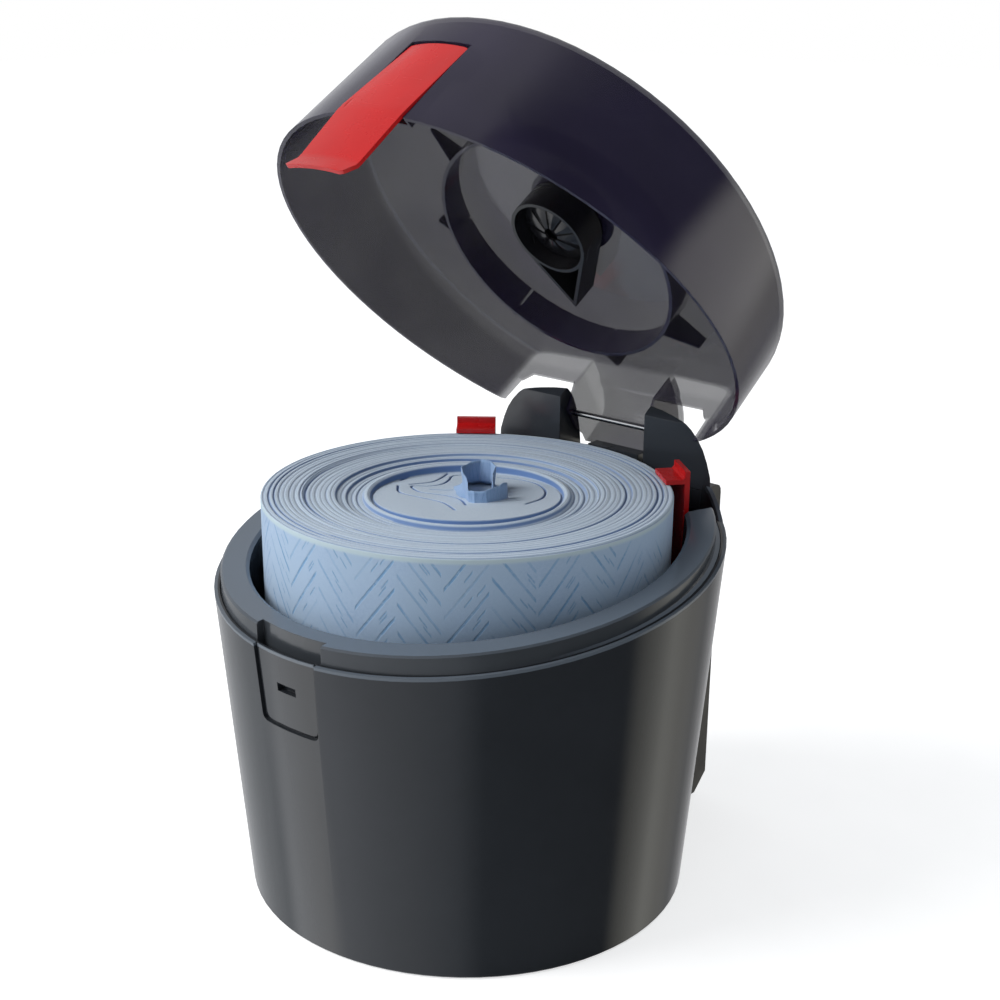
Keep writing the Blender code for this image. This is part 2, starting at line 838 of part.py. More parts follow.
def ring_outline(angle):
    """The liner ring's solid section at an angle from the front."""
    seat = lip_radius(angle) - bucket_wall - seat_gap
    edge = ring_inner_radius
    points = [
        (seat - wall_taper_share * ring_skirt_depth, -ring_skirt_depth),
        (seat, 0),
        (ring_radius, ring_edge),
        (ring_radius, ring_rise - ring_edge),
        (ring_radius - ring_edge, ring_rise),
        (edge + ring_inner_bevel, ring_rise - ring_edge / 2),
        (edge, ring_rise - ring_inner_bevel),
        (edge - ring_liner_draft, -ring_liner_depth),
        (edge - ring_liner_draft + ring_wall, -ring_liner_depth),
        (edge + ring_wall, -ring_skirt_depth),
    ]
    return [polar(r, angle, lip_level(-r * math.cos(angle)) + rise) for r, rise in points]


def ring_hollow_outline(angle):
    """Section of the channel under the liner ring."""
    seat = lip_radius(angle) - bucket_wall - seat_gap
    low = -ring_skirt_depth - overrun
    points = [
        (seat - ring_wall - wall_taper_share * ring_skirt_depth, low),
        (seat - ring_wall, 0),
        (ring_radius - ring_wall, ring_edge),
        (ring_radius - ring_wall, ring_rise - ring_wall),
        (ring_inner_radius + ring_wall, ring_rise - ring_wall - ring_inner_bevel / 2),
        (ring_inner_radius + ring_wall, low),
    ]
    return [polar(r, angle, lip_level(-r * math.cos(angle)) + rise) for r, rise in points]


def make_liner_ring():
    """The C-shaped ring that lines the bucket's mouth, notched at the front for the latch."""
    def span(low, high, steps):
        return [math.radians(low + (high - low) * i / steps) for i in range(steps + 1)]

    loops = [ring_outline(a) for a in span(-ring_end_angle, ring_end_angle, 62)]
    ring = loft("liner_ring", loops)
    for side in (-1, 1):
        angles = [side * a for a in span(ring_bridge_angle, ring_hollow_end_angle, 26)]
        cut(ring, loft("channel", [ring_hollow_outline(a) for a in angles]))
    reach = ring_radius + overrun
    notch = box(
        "notch", (-ring_notch_half_width, ring_notch_half_width), (-reach, 0), (0, deck_height))
    cut(notch, rod("core", (0, 0), ring_notch_radius, "Z", -overrun, deck_height + overrun, round_steps))
    cut(ring, notch)
    flare = ring_end_flare_share * (reach - ring_end_depth)
    half = ring_end_half_width
    low_y = ring_end_depth - ring_inner_radius * ring_end_reach_share
    opening = [
        (-half, ring_end_depth), (-half, low_y), (half, low_y), (half, ring_end_depth),
        (half + flare, reach), (-half - flare, reach)]
    return cut(ring, prism("opening", opening, "Z", 0, deck_height + overrun))


def make_roll_rest(roll_foot):
    """The ribbed support that the roll stands on."""
    low = bucket_floor + seat_gap
    high = roll_foot - seat_gap
    inset = bucket_wall + seat_gap + seat_gap
    rest = bucket_cone("roll_rest", low, high, inset)
    cut(rest, rod("hole", (0, 0), rest_hole_radius, "Z", 0, high + overrun))
    outer = cone_radius(low) - inset - rest_wall
    spread = math.tau / rest_rib_count
    for i in range(rest_rib_count):
        middle = spread * i
        points = []
        for radius, forward in ((rest_hub_radius, True), (outer, False)):
            half = spread / 2 - rest_wall / 2 / radius
            steps = [middle - half + 2 * half * k / 6 for k in range(7)]
            arc = [(radius * math.sin(a), -radius * math.cos(a)) for a in steps]
            points += arc if forward else arc[::-1]
        cut(rest, prism("pocket", points, "Z", 0, high - rest_plate))
    return rest


# Hinge


def screw_places():
    """Sideways places of the hinge block's screws."""
    return [side * x for side in (-1, 1) for x in screw_x]


def make_hinge_block():
    """The two hinge ears on one base that closes the rear deck."""
    base = deck_height - block_base
    curve = bezier(
        (ear_shoulder_radius, ear_shoulder_height), (ear_bend_radius, ear_bend_height),
        (ear_crown_radius, ear_height), 7)
    profile = [(cone_radius(base), base), (cone_radius(deck_height), deck_height)] + curve
    block = loft("hinge_block", [[polar(r, a, z) for a in full_turn()] for r, z in profile])
    reach = cone_radius(ear_height)
    cut(block, box("front", (-reach, reach), (-reach, deck_front), (0, ear_height + overrun)))
    cut(block, box("middle", (-ear_inner_x, ear_inner_x), (0, reach), (deck_height, ear_height + overrun)))
    for side in (-1, 1):
        outside = sorted((side * ear_outer_x, side * reach))
        cut(block, box("outside", outside, (0, reach), (0, ear_height + overrun)))
    # The ears' front corner is an arc about the rod, so the lid's panel passes over it
    angles = [math.radians(180 * i / 24) for i in range(25)]
    arc = [
        (hinge_y + ear_front_reach * math.cos(a), hinge_z + ear_front_reach * math.sin(a)) for a in angles]
    limit = [(deck_front - overrun, 0), (reach + overrun, 0), (reach + overrun, hinge_z)] + arc[1:-1]
    limit += [(deck_front - overrun, hinge_z)]
    keep(block, prism("limit", limit, "X", -reach, reach))
    cut(block, rod("bore", (hinge_y, hinge_z), rod_radius + seat_gap, "X", -reach, reach, 16))
    for side in (-1, 1):
        outer = sorted((side * (rod_half_length - cap_length / 2), side * reach))
        cut(block, rod("sink", (hinge_y, hinge_z), cap_radius + seat_gap, "X", *outer, 16))
    # Low stops between the ears
    for low, high in zip(stop_block_edges[:-1], stop_block_edges[1:]):
        back = stop_block_front + stop_block_depth
        stop = box(
            "stop", (low, high - seat_gap), (stop_block_front, back),
            (deck_height - block_base / 2, deck_height + stop_block_height))
        fuse(block, stop)
    for x in screw_places():
        top = screw_tip_level() + seat_gap
        cut(block, rod("hole", (x, screw_y), screw_radius + seat_gap, "Z", 0, top))
    return block


def screw_tip_level():
    """Height of the hinge screws' tips, inside the ears."""
    return deck_height - deck_depth - seat_gap + screw_length


def make_hinge_screw(name, x):
    """A screw from below, through the deck into an ear."""
    head = deck_height - deck_depth - seat_gap
    screw = rod(name, (x, screw_y), screw_head_radius, "Z", head - screw_head_height, head)
    shank = rod("shank", (x, screw_y), screw_radius, "Z", head - screw_head_height / 2, screw_tip_level())
    return fuse(screw, shank)


def make_rod_cap(name, side):
    """A push-on cap that holds the rod at one end."""
    inner = side * (rod_half_length - cap_length / 2 + seat_gap)
    outer = inner + side * cap_length
    cap = rod(name, (hinge_y, hinge_z), cap_radius, "X", *sorted((inner, outer)), 16)
    hole = sorted((inner - side * overrun, side * (rod_half_length + seat_gap)))
    return cut(cap, rod("hole", (hinge_y, hinge_z), rod_radius + seat_gap, "X", *hole, 16))


# Roll clips, drawn about their own pin with +Y pointing away from the roll


def clip_place(side):
    """Turns a clip's own drawing to its place round the roll."""
    return Matrix.Rotation(-side * math.radians(clip_angle), 4, "Z")


def make_clip(side):
    """A hooked arm that keeps the roll down and is pressed outwards to free it."""
    inner = clip_arm_inner
    outer = inner + clip_arm_thickness
    low = clip_pivot_height - clip_foot_drop
    hook = roll_top_height + seat_gap
    outline = [
        (inner, low), (outer, low), (outer, clip_top_height), (inner, clip_top_height),
        (inner, hook + clip_hook_thickness + clip_hook_thickness / 2),
        (inner - clip_hook_thickness / 2, hook + clip_hook_thickness),
        (clip_hook_tip, hook + clip_hook_thickness), (clip_hook_tip, hook), (inner, hook)]
    name = "roll_clip_left" if side < 0 else "roll_clip_right"
    clip = prism(name, outline, "X", -clip_half_width, clip_half_width)
    centre = (clip_pivot_radius, clip_pivot_height)
    barrel = clip_barrel_half_width
    fuse(clip, rod("barrel", centre, clip_barrel_radius, "X", -barrel, barrel))
    return cut(clip, rod("bore", centre, clip_pin_radius + seat_gap, "X", -overrun * 4, overrun * 4, 16))


def make_carrier(side):
    """The clip's bearing on the bucket's inner wall."""
    half = clip_half_width + swing_gap + carrier_cheek
    low = clip_pivot_height - carrier_drop
    high = clip_pivot_height + carrier_rise
    name = "clip_carrier_left" if side < 0 else "clip_carrier_right"
    reach = cone_radius(high)
    carrier = box(name, (-half, half), (carrier_inner_radius, reach), (low, high))
    keep(carrier, bucket_cone("inside", 0, high + overrun, bucket_wall + seat_gap))
    back = cone_radius(low) - bucket_wall - carrier_back
    gap_half = clip_half_width + swing_gap
    cut(carrier, box("gap", (-gap_half, gap_half), (0, back), (0, high + overrun)))
    centre = (clip_pivot_radius, clip_pivot_height)
    return cut(carrier, rod("bore", centre, clip_pin_radius + seat_gap, "X", -reach, reach, 16))


def make_clip_pin(side):
    """The clip's pin, held in the carrier's cheeks."""
    half = clip_half_width + swing_gap + carrier_cheek - seat_gap
    name = "clip_pin_left" if side < 0 else "clip_pin_right"
    return rod(name, (clip_pivot_radius, clip_pivot_height), clip_pin_radius, "X", -half, half, 16)


def make_clip_spring(side):
    """The coil beside the clip's barrel that closes it."""
    name = "clip_spring_left" if side < 0 else "clip_spring_right"
    room = clip_half_width - clip_barrel_half_width
    middle = clip_barrel_half_width + room / 2
    return coil(name, middle, clip_pivot_radius, clip_pivot_height, room - 2 * spring_end_gap)


# Wall bracket


def make_bracket():
    """The ribbed wall bracket, shaped to the bucket's back."""
    half = bracket_half_width
    back = bracket_back
    top = bracket_top
    rounded = bezier((back, top - bracket_corner), (back, top), (back - bracket_corner, top), 4)
    profile = [
        (0, bracket_foot), (back - bracket_chamfer, bracket_foot), (back, bracket_foot + bracket_chamfer)]
    profile += rounded + [(0, bracket_top)]
    bracket = prism("wall_bracket", profile, "X", -half, half)
    cut(bracket, bucket_cone("bucket", -overrun, deck_height, -seat_gap))
    wide = (2 * half - 2 * bracket_wall - (bracket_columns - 1) * bracket_rib) / bracket_columns
    tall = (bracket_top - bracket_foot) / bracket_rows
    plate = back - bracket_wall
    for column in range(bracket_columns):
        left = -half + bracket_wall + column * (wide + bracket_rib)
        for row in range(bracket_rows):
            low = bracket_foot + row * tall + bracket_rib / 2
            high = low + tall - bracket_rib
            low = max(low, bracket_foot + bracket_wall)
            high = min(high, bracket_top - bracket_wall)
            rear = plate - bracket_chamfer if row == 0 else plate
            cut(bracket, box("cell", (left, left + wide), (0, rear), (low, high)))
    for side in (-1, 1):
        level = lug_level()
        centre = side * lug_centre()
        skin = math.sqrt(cone_radius(level) ** 2 - (abs(centre) + lug_half_width) ** 2)
        start = skin - overrun
        end = skin + lug_reach + lug_thickness + swing_gap
        wide_half = lug_half_width + swing_gap
        slot = box(
            "slot", (centre - wide_half, centre + wide_half), (end - lug_thickness - 2 * swing_gap, end),
            (level - bracket_rib, level + bracket_rib))
        cut(bracket, slot)
    # Keyholes for two wall screws above and two below
    for level in (keyhole_level(1), keyhole_level(bracket_rows - 2)):
        for x in (-lug_centre(), lug_centre()):
            head = rod("head", (x, level), keyhole_radius, "Y", plate - overrun, back + overrun)
            slot_half = keyhole_slot_radius
            slot = box(
                "slot", (x - slot_half, x + slot_half), (plate - overrun, back + overrun),
                (level, level + keyhole_slot_length))
            cut(bracket, fuse(head, slot))
    return bracket


def keyhole_level(row):
    """Height of a keyhole's round mouth, a little under the middle of a bracket row."""
    tall = (bracket_top - bracket_foot) / bracket_rows
    return bracket_foot + tall * (row + 0.5) - keyhole_slot_length / 2


# Lid and the pieces fixed in it


def tongue_outline(inset):
    """Side outline of the lid's rear tongue, drawn in by an inset."""
    back = tongue_back - inset
    top = lid_top_height + lid_top_slope_share * pocket_front - inset
    rear_top = (back - tongue_corner_inset, top - tongue_rear_lift)
    corner = (back - tongue_bend_inset, top - tongue_slope_drop)
    curve = bezier(rear_top, corner, (back - tongue_edge_inset, tongue_corner_height - inset), 6)
    front = pocket_front - overrun * 2
    return [(front, tongue_low_height - overrun * 2), (back, tongue_low_height - overrun * 2),
            (back, tongue_low_height)] + curve[::-1] + [(front, top)]


def side_slab(name):
    """What stays of the lid beside the tongue: its cheek and the panel before the ear."""
    inner = pocket_inner_x - lid_wall
    far = lid_radius
    high = lid_top_height + overrun * 3
    outline = [
        (inner, cheek_low_height - overrun), (pocket_inner_x, cheek_low_height - overrun),
        (pocket_inner_x, panel_low_height), (panel_bend_x, panel_low_height),
        (panel_end_x, panel_end_height), (far, panel_end_height), (far, high), (inner, high)]
    return prism(name, outline, "Y", pocket_front - lid_wall, tongue_back + overrun)


def latch_front_outline(grow):
    """Front outline of the latch's recess in the lid, grown by an amount."""
    top = latch_top_z + latch_swing_room + grow
    low = lid_rim_height - lid_rim_slope_share * lid_radius - overrun
    fall = (latch_bend_half_width - latch_top_half_width) / (latch_top_z - latch_bend_z)
    half_low = latch_bend_half_width + fall * (latch_bend_z - low) + grow
    half_top = latch_top_half_width + grow
    return [(-half_low, low), (half_low, low), (half_top, top), (-half_top, top)]


def recess_tool(name, grow, radius, low=None):
    """The recess round the latch, from outside the lid down to a radius."""
    outline = latch_front_outline(grow)
    tool = prism(name, outline, "Y", -lid_radius - overrun, -lid_radius / 2)
    if low is not None:
        reach = lid_radius
        cut(tool, box("under", (-reach, reach), (-reach * 2, 0), (0, low)))
    top = lid_top_height + overrun
    return cut(tool, rod("core", (0, 0), radius, "Z", 0, top, round_steps))


def make_lid_shell():
    """The lid's one moulding: skirt, top, rear tongue, ear pockets, latch recess, ring and gussets."""
    lid = lid_volume("lid_shell", 0, 0, 0)
    half = pocket_inner_x
    fuse(lid, prism("tongue", tongue_outline(0), "X", -half, half))
    reach = lid_radius + overrun
    high = lid_top_height + overrun * 4
    for side in (-1, 1):
        sideways = sorted((side * half, side * reach))
        cut(lid, box("pocket", sideways, (pocket_front, tongue_back + overrun), (0, high)))
    front = pocket_front - lid_wall - seat_gap
    below = [
        (front, panel_low_height), (cheek_front_y, cheek_low_height), (cheek_rear_y, cheek_low_height),
        (tongue_back - overrun, tongue_low_height), (tongue_back + overrun, tongue_low_height),
        (tongue_back + overrun, 0), (front, 0)]
    cut(lid, prism("below", below, "X", -half - seat_gap, half + seat_gap))
    hollow = lid_volume("hollow", lid_wall, lid_top_wall, overrun)
    inner = half - lid_wall
    fuse(hollow, prism("tongue_inside", tongue_outline(lid_wall), "X", -inner, inner))
    for side in (-1, 1):
        slab = side_slab("slab")
        if side < 0:
            slab.data.transform(Matrix.Scale(-1, 4, (1, 0, 0)))
            slab.data.flip_normals()
        cut(hollow, slab)
    wall = recess_clearance + recess_wall
    cut(hollow, recess_tool("bump", wall, recess_floor_radius - recess_wall))
    cut(hollow, recess_tool("pocket_bump", wall + seat_gap, latch_pocket_radius - recess_wall,
                            latch_pocket_low - recess_wall))
    cut(lid, hollow)
    for piece in lid_ribs():
        fuse(lid, piece)
    centre = (latch_pivot_y, latch_pivot_z)
    for side in (-1, 1):
        span = sorted((side * latch_top_half_width, side * latch_boss_outer))
        boss = rod("boss", centre, latch_boss_radius, "X", *span, 16)
        keep(boss, lid_volume("inside", lid_wall / 2, lid_top_wall / 2, overrun))
        fuse(lid, boss)
    cut(lid, recess_tool("recess", recess_clearance, recess_floor_radius))
    cut(lid, recess_tool("pocket", recess_clearance + seat_gap, latch_pocket_radius, latch_pocket_low))
    cut(lid, rod("pin_bore", centre, latch_pin_radius + seat_gap, "X",
                 -latch_pin_half_length() - seat_gap, latch_pin_half_length() + seat_gap, 16))
    cut(lid, rod("rod_bore", (hinge_y, hinge_z), rod_hole_radius, "X", -half - overrun, half + overrun))
    bore = neck_radius + seat_gap
    return cut(lid, rod("neck", (0, nozzle_y), bore, "Z", lid_top_height - overrun * 2, high, 32))


def lid_ribs():
    """The guide ring under the lid's top, with its gussets."""
    middle = (lid_wall / 2, lid_top_wall / 2, overrun)
    top = lid_top_height + overrun * 2
    pieces = []
    ring = rod("guide", (0, guide_y), guide_radius, "Z", guide_low_height, top, 48)
    inner = guide_radius - guide_wall
    cut(ring, rod("guide_inside", (0, guide_y), inner, "Z", guide_low_height - overrun, top + overrun, 48))
    pieces.append(keep(ring, lid_volume("inside", *middle)))
    start = guide_radius - guide_wall / 2
    for i in range(gusset_count):
        end = start + gusset_length
        outline = [
            (start, gusset_low_height), (start, top), (end, top),
            (end, lid_top_height - gusset_end_depth)]
        gusset = prism("gusset", outline, "Y", -gusset_thickness / 2, gusset_thickness / 2)
        gusset.data.transform(Matrix.Rotation(math.tau * i / gusset_count, 4, "Z"))
        gusset.data.transform(Matrix.Translation((0, guide_y, 0)))
        pieces.append(keep(gusset, lid_volume("inside", *middle)))
    return pieces


def nozzle_outline(inset):
    """Drop-shaped outline of the nozzle: a circle drawn out to a point towards the hinge."""
    radius = nozzle_radius - inset
    touch = math.acos(nozzle_radius / nozzle_reach)
    tip = nozzle_reach - inset / math.cos(touch)
    count = 26
    sweep = math.tau - 2 * touch
    points = []
    for i in range(count + 1):
        angle = math.radians(90) + touch + sweep * i / count
        points.append((radius * math.cos(angle), nozzle_y + radius * math.sin(angle)))
    return points + [(0, nozzle_y + tip)]


def make_nozzle_body():
    """The round cup under the lid's top with its pointed pocket, and a neck through the top."""
    body = prism("nozzle_body", nozzle_outline(0), "Z", nozzle_low_height, nozzle_top_height)
    under = nozzle_top_height - nozzle_plate
    foot = nozzle_low_height - overrun
    middle = (0, nozzle_y)
    cut(body, rod("cup", middle, nozzle_radius - nozzle_wall, "Z", foot, under, 48))
    pocket = prism("pocket", nozzle_outline(nozzle_wall), "Z", foot, under)
    cut(body, cut(pocket, rod("cup_wall", middle, nozzle_radius, "Z", foot - overrun, under + overrun, 48)))
    fuse(body, rod("neck", middle, neck_radius, "Z", under + nozzle_plate / 2, neck_top_height, 32))
    bore = neck_radius - neck_wall
    return cut(body, rod("bore", middle, bore, "Z", 0, neck_top_height + overrun, 32))


def make_nozzle_collar():
    """The collar that holds the neck on the lid's outside."""
    middle = (0, nozzle_y)
    top = collar_height + collar_thickness
    collar = rod("nozzle_collar", middle, collar_radius, "Z", collar_height, top, 40)
    bore = neck_radius + seat_gap
    return cut(collar, rod("bore", middle, bore, "Z", 0, collar_height + overrun, 32))


def crown_rings(inset, lift):
    """Rings of the crown's star from its tip out to the cup's wall, each petal swollen between slits."""
    outer = nozzle_radius - nozzle_wall - seat_gap - inset
    inner = crown_tip_radius / 2
    rings = []
    for share in crown_row_shares:
        radius = inner + (outer - inner) * share
        level = nozzle_low_height + crown_tip_rise + crown_depth * share + lift
        bulge = crown_petal_swell * share * (1 - share) * 2
        rings.append([
            polar(radius, a, level - bulge * (1 - math.cos(crown_petal_count * a))) + Vector((0, nozzle_y, 0))
            for a in full_turn(crown_steps)])
    return rings


def make_nozzle_crown():
    """The star of petals that grips the wipe, on a sleeve that fits in the cup."""
    top = nozzle_top_height - nozzle_plate - seat_gap
    base = nozzle_low_height + crown_tip_rise + crown_depth
    rings = crown_rings(0, 0)
    crown = loft("nozzle_crown", rings + [[Vector((p.x, p.y, top)) for p in rings[-1]]])
    rings = crown_rings(crown_wall, crown_wall)
    cut(crown, loft("inside", rings + [[Vector((p.x, p.y, top + overrun)) for p in rings[-1]]]))
    cut(crown, rod("hole", (0, nozzle_y), crown_tip_radius, "Z", 0, base, 24))
    reach = nozzle_radius - nozzle_wall - crown_slit_inset
    half = crown_slit_width / 2
    for i in range(crown_petal_count // 2):
        slit = box("slit", (-reach, reach), (-half, half), (0, base + crown_wall))
        slit.data.transform(Matrix.Rotation(math.tau * i / crown_petal_count, 4, "Z"))
        slit.data.transform(Matrix.Translation((0, nozzle_y, 0)))
        cut(crown, slit)
    return crown


# Latch


def latch_pin_half_length():
    """Half the length of the latch's pin, which ends in the lid's bosses."""
    return latch_boss_outer - seat_gap * 4


def latch_loop(height, y, half_width, back):
    """One level of the lever: a plate bowed like the bucket."""
    count = 8
    front = []
    rear = []
    for i in range(count + 1):
        share = 2 * i / count - 1
        x = half_width * share
        bow = latch_crown * share ** 2
        front.append(Vector((x, y + bow, height)))
        rear.append(Vector((x, y + bow + back, height)))
    return front + rear[::-1]


def make_latch_lever():
    """The red lever: a bowed plate with a flared lip, hook, tabs and a split barrel."""
    levels = [
        (latch_top_z, latch_top_y, latch_top_half_width - latch_corner),
        (latch_top_z - latch_corner / 2, latch_top_y, latch_top_half_width),
        (latch_bend_z + latch_corner, latch_bend_y + latch_corner / 30, latch_bend_half_width),
        (latch_bend_z - latch_corner, latch_bend_y + latch_corner / 30, latch_bend_half_width),
        (latch_crease_z + latch_corner, latch_crease_y, latch_crease_half_width),
        (latch_crease_z - latch_corner / 2, latch_crease_y, latch_crease_half_width),
        (latch_tip_z + latch_corner / 2, latch_tip_y + latch_corner / 8, latch_tip_half_width),
        (latch_tip_z, latch_tip_y, latch_tip_half_width - latch_corner),
    ]
    lever = loft("latch_lever", [latch_loop(z, y, half, latch_thickness) for z, y, half in levels])
    back = latch_bend_y + latch_thickness / 2
    hook = [
        (back, latch_hook_high + latch_thickness), (back, latch_hook_low),
        (-latch_hook_tip, latch_hook_low), (-latch_hook_tip, latch_hook_high)]
    half = latch_hook_half_width
    fuse(lever, trim_to_plate(prism("hook", hook, "X", -half, half)))
    tab = [
        (back, latch_tab_high), (back, latch_tab_low), (-latch_tab_tip - latch_thickness / 2, latch_tab_low),
        (-latch_tab_tip, latch_tab_low + latch_thickness), (-latch_tab_tip, latch_tab_high)]
    for side in (-1, 1):
        span = sorted((side * latch_tab_inner, side * latch_tab_outer))
        fuse(lever, prism("tab", tab, "X", *span))
    centre = (latch_pivot_y, latch_pivot_z)
    for side in (-1, 1):
        span = sorted((side * latch_barrel_inner, side * latch_barrel_outer))
        barrel = rod("barrel", centre, latch_barrel_radius, "X", *span, 16)
        web = box("web", span, (latch_top_y + latch_thickness / 2, latch_pivot_y),
                  (latch_pivot_z - latch_barrel_radius, latch_pivot_z + latch_barrel_radius))
        fuse(lever, fuse(barrel, web))
    return cut(lever, rod("bore", centre, latch_pin_radius + seat_gap, "X",
                          -latch_barrel_outer - overrun, latch_barrel_outer + overrun, 16))


def trim_to_plate(hook):
    """Keeps a hook's root behind the lever's outer face."""
    reach = latch_bend_half_width
    face = latch_crease_y + latch_thickness / 3
    return cut(hook, box("front", (-reach, reach), (-lid_radius * 2, face), (0, hinge_z)))


def make_latch_pin():
    """The steel pin that the lever turns on."""
    half = latch_pin_half_length()
    return rod("latch_pin", (latch_pivot_y, latch_pivot_z), latch_pin_radius, "X", -half, half, 16)


# Assembly


def make_pivot(name, place, parent=None):
    """An empty on a joint's axis. It remembers where its pieces are drawn."""
    pivot = bpy.data.objects.new(name, None)
    pivot["drawn_at"] = place
    pivot.location = place
    if parent is not None:
        pivot.location = Vector(place) - Vector(parent["drawn_at"])
        pivot.parent = parent
    bpy.context.scene.collection.objects.link(pivot)
    return pivot


def build():
    """Model every piece, then set the moving ones on their axes."""
    clear_scene()
    materials = make_materials()
    roll_foot = roll_foot_height
    dress(make_bucket(), "shell_grey", materials)
    dress(make_liner_ring(), "ring_grey", materials)
    dress(make_roll_rest(roll_foot), "support_grey", materials)
    dress(make_hinge_block(), "shell_grey", materials)
    for number, x in enumerate(screw_places(), 1):
        dress(make_hinge_screw(f"hinge_screw_{number}", x), "steel", materials)
    dress(rod("hinge_rod", (hinge_y, hinge_z), rod_radius, "X", -rod_half_length, rod_half_length, 16),
          "steel", materials)
    for side, name in ((-1, "rod_cap_left"), (1, "rod_cap_right")):
        dress(make_rod_cap(name, side), "nozzle_black", materials)
    dress(make_roll(roll_foot), "wipe_blue", materials)
    dress(make_tail(roll_foot), "wipe_blue", materials)
    dress(make_bracket(), "bracket_black", materials)
    for side in (-1, 1):
        turn = clip_place(side)
        for piece, colour in ((make_carrier(side), "support_grey"), (make_clip_pin(side), "steel"),
                              (make_clip_spring(side), "steel")):
            piece.data.transform(turn)
            dress(piece, colour, materials)
        clip = make_clip(side)
        clip.data.transform(Matrix.Translation((0, -clip_pivot_radius, -clip_pivot_height)))
        dress(clip, "signal_red", materials)
        pivot = make_pivot("clip_pivot_left" if side < 0 else "clip_pivot_right", (0, 0, 0))
        pivot.matrix_world = turn @ Matrix.Translation((0, clip_pivot_radius, clip_pivot_height))
        clip.parent = pivot
    lid_pivot = make_pivot("lid_pivot", (0, hinge_y, hinge_z))
    lid_pivot.rotation_euler.x = -math.radians(lid_open_angle)
    dress(make_lid_shell(), "lid_smoke", materials, lid_pivot)
    dress(make_nozzle_body(), "nozzle_black", materials, lid_pivot)
    dress(make_nozzle_collar(), "nozzle_black", materials, lid_pivot)
    dress(make_nozzle_crown(), "nozzle_black", materials, lid_pivot)
    dress(make_latch_pin(), "steel", materials, lid_pivot)
    dress(coil("latch_spring", 0, latch_pivot_y, latch_pivot_z, latch_spring_length),
          "steel", materials, lid_pivot)
    latch_pivot = make_pivot("latch_pivot", (0, latch_pivot_y, latch_pivot_z), lid_pivot)
    dress(make_latch_lever(), "signal_red", materials, latch_pivot)


build()
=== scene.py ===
"""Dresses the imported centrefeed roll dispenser: fine meshes, materials, studio light and camera.

Metres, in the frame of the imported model: +Z up, front towards -Y, origin in the middle of the flat bottom.
"""
import json
import math

import bmesh
import bpy
import numpy as np
from mathutils import Matrix, Vector, noise

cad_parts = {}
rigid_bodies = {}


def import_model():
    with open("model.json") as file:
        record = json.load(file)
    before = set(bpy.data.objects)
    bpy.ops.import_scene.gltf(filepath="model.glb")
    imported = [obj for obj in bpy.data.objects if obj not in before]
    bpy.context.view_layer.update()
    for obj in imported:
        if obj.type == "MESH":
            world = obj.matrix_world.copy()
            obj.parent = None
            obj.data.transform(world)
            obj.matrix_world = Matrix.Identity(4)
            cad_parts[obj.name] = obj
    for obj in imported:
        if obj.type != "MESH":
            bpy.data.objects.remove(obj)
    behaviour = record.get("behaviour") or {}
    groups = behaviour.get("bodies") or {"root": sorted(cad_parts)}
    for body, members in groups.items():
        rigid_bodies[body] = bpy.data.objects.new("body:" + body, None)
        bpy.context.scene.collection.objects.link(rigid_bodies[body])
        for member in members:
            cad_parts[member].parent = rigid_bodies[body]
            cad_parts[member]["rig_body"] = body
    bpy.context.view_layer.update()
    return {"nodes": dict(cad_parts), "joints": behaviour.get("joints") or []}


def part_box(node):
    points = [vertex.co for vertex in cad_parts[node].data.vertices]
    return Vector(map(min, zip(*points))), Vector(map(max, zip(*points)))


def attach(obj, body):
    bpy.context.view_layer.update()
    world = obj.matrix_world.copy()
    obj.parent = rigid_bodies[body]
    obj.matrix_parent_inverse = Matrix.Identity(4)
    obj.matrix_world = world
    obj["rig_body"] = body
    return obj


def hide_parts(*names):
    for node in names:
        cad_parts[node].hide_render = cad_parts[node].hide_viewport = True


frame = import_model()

mm = 0.001
origin = (0.0, 0.0, 0.0)
white = (1.0, 1.0, 1.0)

# The frame's own measures
roll_low, roll_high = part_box("wipe_roll")
hinge = next(joint for joint in frame["joints"] if joint["name"] == "lid_hinge")
hinge_y, hinge_z = hinge["pos_m"][1:]
lid_angle = math.radians(hinge["range_deg"][1])

# Camera, found from the ellipses of the roll, the lip and the foot
camera_place = (0.5133, -0.5677, 0.4483)
camera_pitch = 69.293
camera_turn = 42.113
camera_lens = 59.48
camera_sensor = 36.0
camera_shift = (0.0327, 0.0756)

# Skins of the CAD nodes: what is welded, the angle from which an edge stays sharp, rays for rounded edges
weld_distance = 0.002 * mm
sliver_width = 0.001 * mm
sharp_angle = 32.0
bevel_samples = 4

# Bucket: its tapered wall, its sloping lip, and the band along the lip's outer edge that gets a painted
# highlight
bucket_foot_radius = 111.66 * mm
bucket_taper = 0.078
lip_level = 172.76 * mm
lip_slope = 0.142
highlight_height = 1.7 * mm
highlight_width = 1.5 * mm
highlight_fade = 0.5 * mm

# Liner ring: how level a face is where its painted top light, a paler tint on faces that look up, starts and
# where it is full
painted_top_light_span = (0.55, 0.85)

# Latch lever, in the closed lid: outer corners of its tabs, and its plate beside them
tab_corner_x = 16.5 * mm
tab_corner_y = -123.8 * mm
tab_corner_slack = 0.06 * mm
lever_plate_y = -123.63 * mm
lever_bend_z = 159.5 * mm
lever_plate_lean = 0.068

# Closed lid: where its rear, the ear pockets in the rear, and its top begin and are reached
lid_rear = (100.5 * mm, 103.5 * mm)
lid_pocket_side = (25.5 * mm, 27.5 * mm)
lid_top = (227.0 * mm, 234.0 * mm)

